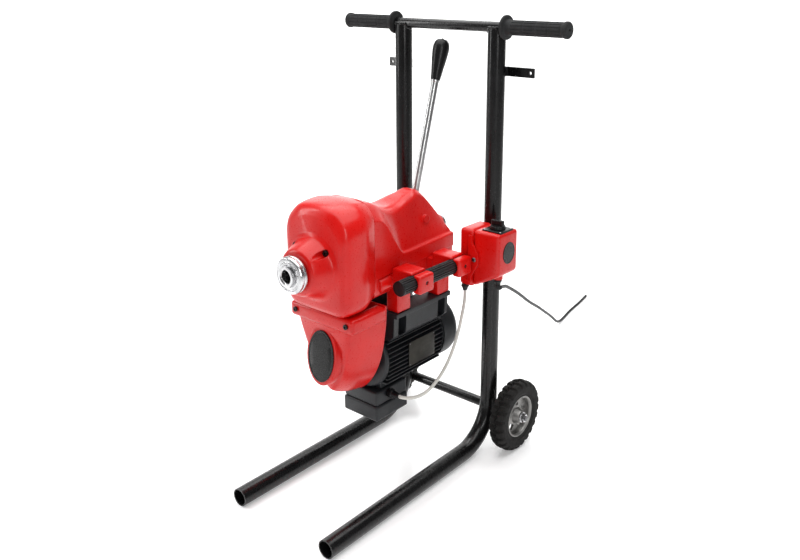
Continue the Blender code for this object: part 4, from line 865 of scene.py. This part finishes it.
def clamp_cap(y0, y1):
    """Outer half of a clamp, with a hole for its set screw."""
    cap = box("cap", (HALF_SPAN + 0.0010, y0, SUPPORT_Z - 0.0205), (HALF_SPAN + 0.0215, y1, SUPPORT_Z + 0.0175),
              0.005, 5)
    bore = cylinder("bore", "Y", (HALF_SPAN, SUPPORT_Z), y0 - 0.01, y1 + 0.01, SLEEVE_R, 72)
    hole = cylinder("hole", "X", ((y0 + y1) / 2, SUPPORT_Z), HALF_SPAN + 0.0165, 0.16, 0.0043, 40)
    return cut(cap, bore, hole)


def bulb_ring(y, half, low, side_high, crest, top, inset=0.0):
    """One cross section of the front cover."""
    i = inset
    side = [(0.012, low + i), (half - i, low + i), (half - i, side_high + 0.008 - 0.4 * i),
            (crest - 0.6 * i, top - 0.002 - i), (0.3 * crest, top + 0.003 - i)]
    points = side + [(-x, z) for x, z in reversed(side)]
    return eased([(x, y, z) for x, z in points], 0.046 - i, 8)


# the bulb: y, half width, bottom height, shoulder height, crest half width, crest height
BULB = ((BODY_FRONT_Y - 0.0003, 0.072, 0.440, 0.600, 0.050, 0.634),
        (-0.336, 0.0790, 0.4300, 0.600, 0.054, 0.638), (-0.358, 0.0855, 0.4250, 0.598, 0.056, 0.640),
        (-0.394, 0.0850, 0.4250, 0.594, 0.052, 0.637), (-0.407, 0.0790, 0.4290, 0.586, 0.046, 0.629),
        (-0.413, 0.0690, 0.4380, 0.574, 0.038, 0.616))


def front_cover():
    """The bulb over the big pulley, with the snout that carries the front bearing."""
    outer = loft("front_cover", [bulb_ring(*row) for row in BULB])
    rows = [(BULB[0][0] + 0.01, *BULB[0][1:])] + list(BULB[1:4])
    rows.append((-0.399, *BULB[4][1:]))
    hollow = loft("hollow", [bulb_ring(*row, inset=0.005) for row in rows])
    snout = [(0, -0.4565), (0.0400, -0.4565), (0.0450, -0.4545), (0.0490, -0.4470), (0.0530, -0.4370),
             (0.0565, -0.4270), (0.0610, -0.4185), (0.0680, -0.4137), (0.0740, -0.4110), (0.0740, -0.4020),
             (0, -0.4020)]
    shell = cut(join(outer, turned("snout", "Y", (0, AXIS_Z), rounded(snout, 0.008, 5), 120, 0)), hollow)
    cuts = [cylinder("bore", "Y", (0, AXIS_Z), -0.47, -0.39, 0.0200, 72),
            cylinder("seat", "Y", (0, AXIS_Z), -0.446, -0.39, 0.0310, 72),
            box("belt_way", (-0.064, -0.372, 0.41), (0.064, BODY_FRONT_Y + 0.01, 0.45))]
    for side in (-1, 1):
        cuts.append(cylinder("pocket", "Y", (side * 0.041, AXIS_Z + 0.038), -0.47, -0.4165, 0.0075, 48))
    return cut(shell, *cuts)


def belt_ring(y, rake, top_half, bottom, power, top=0.3945, steps=28):
    """A tapered U outline; rake moves the lower points back, in metres for each metre down."""
    half = []
    for i in range(steps + 1):
        t = sin(pi / 2 * i / steps)
        z = top - (top - bottom) * t
        half.append((max(top_half * (1 - t ** power) ** 0.6, 0.0), y + rake * (top - z), z))
    return half + [(-x, yy, z) for x, yy, z in reversed(half[:-1])]


def emblem_outline(half_u, half_v, steps=96):
    """Points of an oval."""
    return [(half_u * cos(2 * pi * i / steps), half_v * sin(2 * pi * i / steps)) for i in range(steps)]


def emblem_place(depth):
    """Where the oval sits on the raked front; depth is measured back from the pad's face."""
    turn = Matrix.Rotation(pi / 2 - EMBLEM_LEAN, 4, "X")
    return Matrix.Translation(Vector((0, EMBLEM_Y, EMBLEM_Z)) + turn @ Vector((0, 0, -depth))) @ turn


def oval_pad(name, rows, place_matrix, steps=96):
    """A stepped oval: rows of (half width, half height, level), from the back to the middle of its face."""
    bm = bmesh.new()
    loops = [[bm.verts.new((u, v, level)) for u, v in emblem_outline(a, b, steps)] for a, b, level in rows]
    skin(bm, loops)
    bm.faces.new(loops[0])
    bm.faces.new(loops[-1])
    return solid(name, bm, place_matrix)


def belt_cover():
    """Lower belt case: a raked tapered tub with a screw flange and a raised oval pad."""
    rake = 0.115
    tub = loft("belt_cover", [belt_ring(-0.3025, 0, 0.0830, 0.222, 2.0),
                              belt_ring(-0.350, 0.03, 0.0790, 0.230, 1.6),
                              belt_ring(-0.384, 0.08, 0.0720, 0.243, 1.30),
                              belt_ring(-0.392, 0.105, 0.0680, 0.251, 1.20),
                              belt_ring(-0.395, rake, 0.0620, 0.259, 1.15)])
    hollow = loft("hollow", [belt_ring(-0.29, 0, 0.0785, 0.2265, 2.0, 0.41),
                             belt_ring(-0.350, 0.03, 0.0745, 0.235, 1.6, 0.41),
                             belt_ring(-0.3885, rake, 0.0620, 0.260, 1.20, 0.41)])
    flange = box("flange", (-0.087, -0.399, 0.394), (0.087, -0.3025, 0.4245), 0.007, 5)
    top_way = box("way", (-0.066, -0.386, 0.38), (0.066, -0.29, 0.43))
    raised = oval_pad("pad", [(0.0430, 0.0620, -0.0095), (0.0420, 0.0610, 0.0045), (0.0408, 0.0598, 0.0062),
                              (0.0388, 0.0576, 0.0065)], emblem_place(0.0))
    return cut(join(tub, flange, raised), hollow, top_way)


def build_head():
    done(main_body(), "main_body", "red_paint")
    done(top_cover(), "top_cover", "red_paint")
    done(front_cover(), "front_cover", "red_paint")
    done(belt_cover(), "belt_cover", "red_paint")
    for (y0, y1), at in zip(CLAMP_Y, ("front", "rear")):
        pair(clamp_cap(y0, y1), "clamp_cap_" + at, "red_paint")
    back = profile_along_y("back", [(x, z) for x, _, z in belt_ring(0, 0, 0.0830, 0.222, 2.0, 0.4245)],
                           -0.3022, -0.2982)
    shaft_hole = cylinder("shaft_hole", "Y", (0, MOTOR_Z), -0.31, -0.29, 0.014, 48)
    done(cut(back, shaft_hole), "belt_case_back", "red_paint")
    plate_rows = [(0.0350, 0.0530, 0.0060), (0.0352, 0.0532, 0.0084), (0.0345, 0.0525, 0.0092),
                  (0.0318, 0.0498, 0.0092), (0.0312, 0.0492, 0.0086), (0.0304, 0.0484, 0.0086),
                  (0.0298, 0.0478, 0.0090), (0.0200, 0.0320, 0.0094)]
    done(oval_pad("badge", plate_rows, emblem_place(0.0)), "front_emblem", "emblem_black")
    flange_screws = [facing((side * 0.070, -0.3988, 0.410), (0, -1, 0)) for side in (-1, 1)]
    pocket_screws = [facing((side * 0.041, -0.4166, AXIS_Z + 0.038), (0, -1, 0)) for side in (-1, 1)]
    screws = gathered("screws", [copies(socket_screw(0.0052, 0.0040), flange_screws),
                                 copies(socket_screw(0.0058, 0.0050), pocket_screws)])
    detail(screws, "cover_screws", "black_plastic")
    sides = [facing((side * (HALF_SPAN + 0.0170), (y0 + y1) / 2, SUPPORT_Z), (side, 0, 0))
             for side in (-1, 1) for y0, y1 in CLAMP_Y]
    detail(copies(socket_screw(0.0041, 0.0022), sides), "clamp_set_screws", "dark_steel")


# ---- spindle, chuck and lever -------------------------------------------------------------------
def jaw_turn(i):
    """Matrix that takes the top jaw's place to that of jaw i."""
    return Matrix.Translation((0, 0, AXIS_Z)) @ Matrix.Rotation(2 * pi * i / 3, 4, "Y")


def spindle():
    """Hollow spindle: collar at the nose, jaw windows, thin tail with an end collar."""
    profile = [(CABLE_R + 0.0025, -0.4840), (0.0200, -0.4840), (0.0200, -0.4790), (SPINDLE_R, -0.4780),
               (SPINDLE_R, -0.0790), (SPINDLE_TAIL_R, -0.0780), (SPINDLE_TAIL_R, -0.0330),
               (0.0195, -0.0330), (0.0195, -0.0270), (CABLE_R, -0.0270), (CABLE_R, -0.4815)]
    body = turned("spindle", "Y", (0, AXIS_Z), profile, 96)
    windows = []
    for i in range(3):
        window = box("window", (-0.0066, -0.2066, 0.008), (0.0066, -0.1804, 0.03))
        window.data.transform(jaw_turn(i))
        windows.append(window)
    return cut(body, *windows)


def lever_frame():
    """From the lever's own frame (+Z along the rod, origin on the pivot) to the machine."""
    return Matrix.Translation((0, PIVOT_Y, PIVOT_Z)) @ Matrix.Rotation(-LEVER_LEAN, 4, "X")


def build_drive():
    centre = (0, AXIS_Z)
    done(spindle(), "spindle", "bright_steel", "spindle")
    nose = [(0.0290, NOSE_Y + 0.0016), (0.0300, NOSE_Y), (0.0340, NOSE_Y + 0.0008), (NOSE_R, NOSE_Y + 0.0036),
            (NOSE_R, NOSE_Y + 0.0086), (NOSE_R - 0.0012, NOSE_Y + 0.0094), (NOSE_R - 0.0012, NOSE_Y + 0.0108),
            (NOSE_R, NOSE_Y + 0.0116), (NOSE_R, NOSE_Y + 0.0160), (0.0330, NOSE_Y + 0.0198),
            (SPINDLE_R, NOSE_Y + 0.0198), (SPINDLE_R, NOSE_Y + 0.0030), (0.0205, NOSE_Y + 0.0030),
            (0.0212, NOSE_Y), (0.0262, NOSE_Y + 0.0002), (0.0268, NOSE_Y + 0.0016)]
    done(turned("nose", "Y", centre, nose, 120, 0.0005), "nose_ring", "bright_steel", "spindle")
    s = KNOB_START
    rod = turned("rod", "Z", (0, 0), [(0, 0.0123), (0.008, 0.0123), (0.008, s + 0.030), (0, s + 0.030)], 64)
    collar = [(0, s - 0.0045), (0.0092, s - 0.0045), (0.0092, s + 0.002), (0, s + 0.002)]
    collar = turned("collar", "Z", (0, 0), collar, 64, 0.0008)
    both = gathered("rod", [rod, collar])
    both.data.transform(lever_frame())
    done(both, "lever_rod", "lever_steel", "lever")
    knob = [(0.0080, s), (0.0100, s), (0.0108, s + 0.004), (0.0125, s + 0.020), (0.0160, s + 0.045),
            (0.0180, s + 0.064), (0.0178, s + 0.073), (0.0150, s + 0.082), (0.0090, s + 0.088),
            (0, LEVER_LENGTH + 0.0005), (0, s + 0.0405), (0.0080, s + 0.0405)]
    grip_knob = turned("knob", "Z", (0, 0), rounded(knob[:9], 0.012, 6) + knob[9:], 96, 0)
    grip_knob.data.transform(lever_frame())
    done(grip_knob, "lever_knob", "black_plastic", "lever", smooth=60)


# ---- the motor ----------------------------------------------------------------------------------
def finned_outline():
    """Round core with level fins left and right, drawn as one outline."""
    pitch, thick, count, core = 0.0100, 0.0036, 5, 0.0605
    side = []
    for k in range(-count, count + 1):
        z = k * pitch
        tip = sqrt(max(0.0690 ** 2 - (0.62 * z) ** 2, 0)) - 0.05 * abs(z)
        low, high = z - thick / 2, z + thick / 2
        side += [(sqrt(core ** 2 - low ** 2), low)]
        side += [(tip - 0.0012 + 0.0012 * cos(radians(a)), z + 0.75 * thick / 2 * sin(radians(a)))
                 for a in (-90, -60, -30, 0, 30, 60, 90)]
        side += [(sqrt(core ** 2 - high ** 2), high)]
    right = arc((0, 0), core, -85, -62, 8) + side + arc((0, 0), core, 62, 85, 8)
    outline = right + [(-x, z) for x, z in reversed(right)]
    return [(x, z + MOTOR_Z) for x, z in outline]


def motor_body():
    """Finned stator housing, hung feet-up under the legs."""
    body = profile_along_y("motor_body", finned_outline(), MOTOR_FRONT_Y, MOTOR_REAR_Y)
    foot_right = [(0.018, MOTOR_Z + 0.050), (0.066, MOTOR_Z + 0.046), (0.079, MOTOR_Z + 0.060),
                  (0.081, FOOT_Z - 0.010), (0.088, FOOT_Z - 0.010), (0.088, FOOT_Z), (0.048, FOOT_Z),
                  (0.044, MOTOR_Z + 0.068), (0.018, MOTOR_Z + 0.062)]
    feet = []
    for side in (-1, 1):
        outline = rounded([(side * x, z) for x, z in foot_right], 0.0015)
        feet.append(profile_along_y("foot", outline, MOTOR_FRONT_Y + 0.001, MOTOR_REAR_Y - 0.001))
    box_seat = box("box_seat", (-0.040, -0.272, MOTOR_Z - 0.069), (0.040, -0.196, MOTOR_Z - 0.050), 0.002)
    body = join(body, *feet, box_seat)
    cuts = [cylinder("bore", "Y", (0, MOTOR_Z), MOTOR_FRONT_Y - 0.01, MOTOR_REAR_Y + 0.01, 0.0525, 96)]
    for side in (-1, 1):
        for y in foot_bolt_places():
            x0, x1 = sorted((side * 0.0585, side * 0.095))
            cuts.append(box("pocket", (x0, y - 0.012, MOTOR_Z + 0.056), (x1, y + 0.012, FOOT_Z - 0.010), 0.002))
    return cut(body, *cuts)


def hexagon_bolt():
    """Bolt head under its foot: washer, hexagon and shank, pointing down from z = 0."""
    washer = turned("washer", "Z", (0, 0), [(0, 0), (0.0088, 0), (0.0088, -0.0014), (0, -0.0014)], 48, 0.0003)
    head = cylinder("head", "Z", (0, 0), -0.0068, -0.0013, 0.0075, 6)
    crown = turned("crown", "Z", (0, 0), [(0, -0.0067), (0.0060, -0.0067), (0.0078, -0.0056), (0.0078, 0), (0, 0)],
                   48, 0)
    return gathered("bolt", [washer, combined(head, [crown], "INTERSECT")])


def fan_cover():
    """Sheet steel cup over the fan with rows of air slots in its back."""
    r, y0, y1, t = FAN_COVER_R, -0.0966, -0.0450, 0.0015
    profile = [(r, y0), (r, y1 - 0.012), (r - 0.003, y1 - 0.004), (r - 0.010, y1), (0, y1),
               (0, y1 - t), (r - 0.0105, y1 - t), (r - 0.0045, y1 - 0.005), (r - t, y1 - 0.012), (r - t, y0)]
    body = turned("fan_cover", "Y", (0, MOTOR_Z), rounded(profile, 0.003, 5), 120, 0)
    slots = []
    for k in (-2, -1, 0, 1, 2):
        half = sqrt(0.054 ** 2 - (k * 0.019) ** 2)
        z = MOTOR_Z + k * 0.019
        slots.append(box("slot", (-half, y1 - 0.005, z - 0.0035), (half, y1 + 0.005, z + 0.0035)))
    return cut(body, *slots)


def build_motor():
    done(motor_body(), "motor_body", "motor_grey")
    places = [Matrix.Translation((side * FOOT_BOLT_X, y, FOOT_Z - 0.0099))
              for side in (-1, 1) for y in foot_bolt_places()]
    detail(copies(hexagon_bolt(), places), "foot_bolts", "bright_steel")
    centre = (0, MOTOR_Z)
    running = 0.0095 + 0.0002
    front = [(0.0200, -0.2920), (0.0300, -0.2910), (0.0440, -0.2870), (0.0660, -0.2845), (0.0685, -0.2810),
             (0.0685, -0.2753), (0.0522, -0.2753), (0.0522, -0.2700), (0.0490, -0.2700), (0.0440, -0.2800),
             (0.0200, -0.2800), (0.0200, -0.2750), (running, -0.2750), (running, -0.2920)]
    rear = [(0.0685, -0.0977), (0.0685, -0.0930), (0.0670, -0.0900), (0.0440, -0.0860), (0.0240, -0.0868),
            (running, -0.0868), (running, -0.1010), (0.0175, -0.1010), (0.0175, -0.0960),
            (0.0440, -0.0930), (0.0490, -0.1030), (0.0522, -0.1030), (0.0522, -0.0977)]
    done(turned("front", "Y", centre, rounded(front, 0.0015), 96, 0), "motor_shield_front", "motor_grey")
    done(turned("rear", "Y", centre, rounded(rear, 0.0015), 96, 0), "motor_shield_rear", "motor_grey")
    done(fan_cover(), "fan_cover", "motor_grey")
    tray = box("tray", (-0.046, -0.292, 0.1860), (0.046, -0.196, MOTOR_Z - 0.0693), 0.004, 4)
    gland_hole = cylinder("gland_hole", "X", CABLE_ROUTE[0][1:], 0.03, 0.06, 0.0063, 32)
    done(cut(tray, gland_hole), "terminal_box", "motor_grey")
    lid = box("lid", (-0.048, -0.294, 0.1520), (0.048, -0.194, 0.1857), 0.005, 5)
    done(lid, "terminal_lid", "motor_grey")
    corners = [facing((x, y, 0.1522), (0, 0, -1)) for x in (-0.038, 0.038) for y in (-0.284, -0.204)]
    detail(copies(cross_screw(0.0040, 0.0016), corners), "terminal_screws", "bright_steel")
    label = box("plate", (-0.0008, -0.215, 0.257), (0.0006, -0.130, 0.311), 0.0003, 2)
    label.data.transform(Matrix.Translation((0.0692, 0, 0)))
    rivets = [facing((0.0696, y, z), (1, 0, 0)) for y in (-0.2115, -0.1335) for z in (0.2605, 0.3075)]
    rivet = turned("rivet", "Z", (0, 0), [(0, 0), (0.0018, 0), (0.0014, 0.0007), (0, 0.0010)], 24, 0.0002)
    detail(label, "motor_plate", "plate_metal")
    detail(copies(rivet, rivets), "plate_rivets", "dark_steel")


# ---- the switch and the cables ------------------------------------------------------------------
def box_bottom(x):
    """Height of the switch box's sloping bottom."""
    return 0.4205 + (x - BOX_X[1]) / (BOX_X[2] - BOX_X[1]) * 0.0335


def switch_bracket():
    """Inner half of the switch box: it is bored for the support bar and has a front ear."""
    x0, x1 = BOX_X[0], BOX_X[1] - 0.0003
    block = box("switch_bracket", (x0, BOX_Y[0], 0.4180), (x1, BOX_Y[1], BOX_TOP_Z), 0.008, 6)
    ear = profile_along_y("ear", rounded([(0.1340, 0.5360), (0.1440, 0.5180), (0.1600, 0.4920), (0.1600, 0.4720),
                                          (0.1440, 0.4460), (0.1340, 0.4280)], 0.006, 6), -0.1000, BOX_Y[0] - 0.0003)
    bridge = box("bridge", (0.1340, -0.1000, 0.4320), (0.1425, -0.0900, 0.5320))
    bore = cylinder("bore", "Y", (HALF_SPAN, SUPPORT_Z), -0.12, 0.0, SUPPORT_R, 64)
    duct = cylinder("duct", "Z", (0.118, -0.086), 0.40, 0.452, 0.0046, 32)
    return cut(join(block, ear, bridge), bore, duct)


def switch_box():
    """Outer half: a casting with a rounded edge and a sloping bottom."""
    x0, x1, (y0, y1), top = BOX_X[1], BOX_X[2], BOX_Y, BOX_TOP_Z
    outline = [(x0, top), (x1, top), (x1, box_bottom(x1)), (x0, box_bottom(x0))]
    body = bevelled(profile_along_y("switch_box", outline, y0, y1), 0.007, 6)
    boss = cylinder("boss", "Z", (CORD_ROUTE[0][0], CORD_ROUTE[0][1]), 0.4290, 0.4480, 0.0105, 48)
    return join(body, boss)


def knob():
    """Rotary knob: a skirt with a fluted edge and a finger bar."""
    z = BOX_TOP_Z + 0.0033
    profile = [(0, z), (0.0170, z), (0.0155, z + 0.0070), (0, z + 0.0070)]
    skirt = turned("skirt", "Z", (KNOB_X, KNOB_Y), dense(rounded(profile, 0.0010), 0.0012), 144, 0)
    pressed(skirt, "Z", (KNOB_X, KNOB_Y),
            lambda r, along, angle: 0.0006 * (0.5 - 0.5 * cos(24 * angle)) if r > 0.0145 else 0.0)
    bar = box("bar", (KNOB_X - 0.0145, KNOB_Y - 0.0045, z + 0.003), (KNOB_X + 0.0145, KNOB_Y + 0.0045, z + 0.0185),
              0.0028, 5)
    return join(skirt, bar)


def gland(base, direction, length, radius, tip_radius, bore):
    """A cable gland: hexagon nut, ribbed dome and tapered sleeve."""
    profile = [(bore, length), (tip_radius, length), (radius * 0.80, length * 0.45), (radius, length * 0.42),
               (radius, length * 0.20), (radius * 0.92, length * 0.18), (radius * 0.92, 0.0), (bore, 0.0)]
    body = turned("gland", "Z", (0, 0), dense(rounded(profile, 0.0007), 0.0015), 96, 0)
    pressed(body, "Z", (0, 0), lambda r, along, angle:
            0.0005 * (0.5 - 0.5 * cos(18 * angle)) if r > 0.95 * radius else 0.0)
    body.data.transform(facing(base, direction))
    return body


def lay(name, points, diameter, finish):
    """A cable through the points, given its finish; the points of its route are returned."""
    route = spline([Vector(p) for p in points], 10)
    obj = bar_curve(name + "_look", [p + SHIFT for p in route], diameter / 2, 6)
    obj.data.materials.append(FINISH[finish])
    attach(obj, "stand")
    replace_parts(obj, name)
    return route


def cord_boot(route, reach):
    """Ribbed tapered strain relief on the first part of the supply cord."""
    points, run = [route[0]], 0.0
    for p, q in zip(route, route[1:]):
        if run < reach:
            points += [p.lerp(q, k / 3) for k in (1, 2, 3)]
            run += (q - p).length
    widths = [6.4 - 1.7 * i / (len(points) - 1) - (0.5 if i % 4 > 1 else 0.0) for i in range(len(points))]
    return baked(bar_curve("boot", points, 0.001, 8, widths), CURVE_WELD)


def build_switch_and_cables():
    detail(cord_boot(cord_route, 0.024), "cord_boot", "cord_rubber")
    done(switch_bracket(), "switch_bracket", "red_paint")
    done(switch_box(), "switch_box", "red_paint")
    top = BOX_TOP_Z
    half = 0.0235
    face = box("face", (KNOB_X - half, KNOB_Y - half, top - 0.001), (KNOB_X + half, KNOB_Y + half, top + 0.003),
               0.0011)
    done(face, "cam_switch", "black_plastic")
    done(knob(), "switch_knob", "black_plastic", "switch_knob")
    corners = [facing((KNOB_X + u, KNOB_Y + v, top + 0.0026), (0, 0, 1))
               for u in (-0.0195, 0.0195) for v in (-0.0195, 0.0195)]
    detail(copies(cross_screw(0.0021, 0.0010), corners), "switch_plate_screws", "bright_steel")
    ear_screw = copies(cross_screw(0.0050, 0.0028), [facing((0.150, -0.1000, 0.482), (0, -1, 0))])
    detail(ear_screw, "switch_ear_screw", "dark_steel")
    badge_place = Matrix.Translation((BOX_X[2] - 0.0004, -0.058, 0.499)) @ Matrix.Rotation(pi / 2, 4, "Y")
    rows = [(0.0235, 0.0210, -0.001), (0.0235, 0.0210, 0.0010), (0.0228, 0.0203, 0.0016), (0.0216, 0.0191, 0.0016),
            (0.0210, 0.0185, 0.0011), (0.0120, 0.0105, 0.0012)]
    detail(oval_pad("badge", rows, badge_place), "switch_badge", "emblem_black")
    first, last, cord_start = Vector(CABLE_ROUTE[0]), Vector(CABLE_ROUTE[-1]), Vector(CORD_ROUTE[0])
    done(gland((0.0463, first.y, first.z), (1, 0, 0), 0.0286, 0.0105, 0.0060, 0.0034), "motor_gland", "black_plastic")
    done(gland((last.x, last.y, 0.4177), (0, 0, -1), 0.0138, 0.0085, 0.0050, 0.0034), "cable_gland", "black_plastic")
    done(gland(cord_start + Vector((0, 0, 0.0125)), (0, 0, -1), 0.0122, 0.0090, 0.0058, 0.0039), "cord_gland",
         "black_plastic")


cord_route = lay("supply_cord", CORD_ROUTE, CORD_D, "cord_rubber")
lay("motor_cable", CABLE_ROUTE, CABLE_D, "white_cable")
build_stand()
build_wheels()
build_head()
build_drive()
build_motor()
build_switch_and_cables()
for inner, finish in (("spindle_bearing_front", "bright_steel"), ("spindle_bearing_rear", "bright_steel"),
                      ("spindle_pulley", "dark_steel"), ("drive_belt", "belt_rubber"),
                      ("motor_pulley", "dark_steel"), ("clutch_sleeve", "dark_steel"),
                      ("chuck_jaw_1", "dark_steel"), ("chuck_jaw_2", "dark_steel"), ("chuck_jaw_3", "dark_steel"),
                      ("lever_yoke", "dark_steel"), ("lever_pin", "bright_steel"),
                      ("motor_rotor", "dark_steel"), ("motor_fan", "black_plastic")):
    carried(inner, finish)


# ---- floor and light ----------------------------------------------------------------------------
def studio():
    """Pale floor that runs up into a bright wall behind the machine."""
    away = Vector((-sin(radians(YAW)), cos(radians(YAW)), 0))
    across = Vector((away.y, -away.x, 0))
    bend = [(2.6 + 1.2 * sin(radians(a)), 1.2 - 1.2 * cos(radians(a))) for a in range(0, 91, 6)]
    profile = [(-5.0, 0.0)] + bend + [(3.8, 5.0)]
    mesh = bpy.data.meshes.new("studio")
    bm = bmesh.new()
    rows = [[bm.verts.new(away * d + across * side + Vector((0, 0, z))) for side in (-7.0, 7.0)] for d, z in profile]
    for row, following in zip(rows, rows[1:]):
        bm.faces.new((row[0], row[1], following[1], following[0]))
    bm.to_mesh(mesh)
    bm.free()
    mesh.shade_smooth()
    obj = new_object("studio", mesh)
    finish = new_material("studio_floor", (0.92, 0.92, 0.92), 0.14, Emission_Strength=0.25)
    finish.node_tree.nodes["Principled BSDF"].inputs["Emission Color"].default_value = (1, 1, 1, 1)
    obj.data.materials.append(finish)


def area_light(name, at, target, size, power):
    """A rectangular light aimed at a target."""
    light = bpy.data.lights.new(name, "AREA")
    light.shape, light.size, light.size_y, light.energy = "RECTANGLE", size[0], size[1], power
    obj = bpy.data.objects.new(name, light)
    bpy.context.scene.collection.objects.link(obj)
    obj.location = at
    obj.rotation_euler = (Vector(target) - Vector(at)).to_track_quat("-Z", "Y").to_euler()


studio()
centre = (0, 0, 0.45)
area_light("overhead", (-0.2, 0.3, 3.2), (-0.2, 0.3, 0), (4.0, 4.0), 150)
area_light("wall_wash", (-1.0, 1.0, 3.0), (-2.6, 3.0, 0.9), (4.0, 1.0), 70)
area_light("key_right", (2.2, -1.6, 1.5), centre, (0.5, 1.8), 20)
area_light("left_strip", (-2.0, -1.6, 1.4), centre, (0.4, 2.0), 22)
world = bpy.data.worlds.new("studio")
bpy.context.scene.world = world
world.use_nodes = True
world.node_tree.nodes["Background"].inputs["Color"].default_value = (1, 1, 1, 1)
world.node_tree.nodes["Background"].inputs["Strength"].default_value = 0.16
bpy.context.scene.view_settings.view_transform = "Standard"
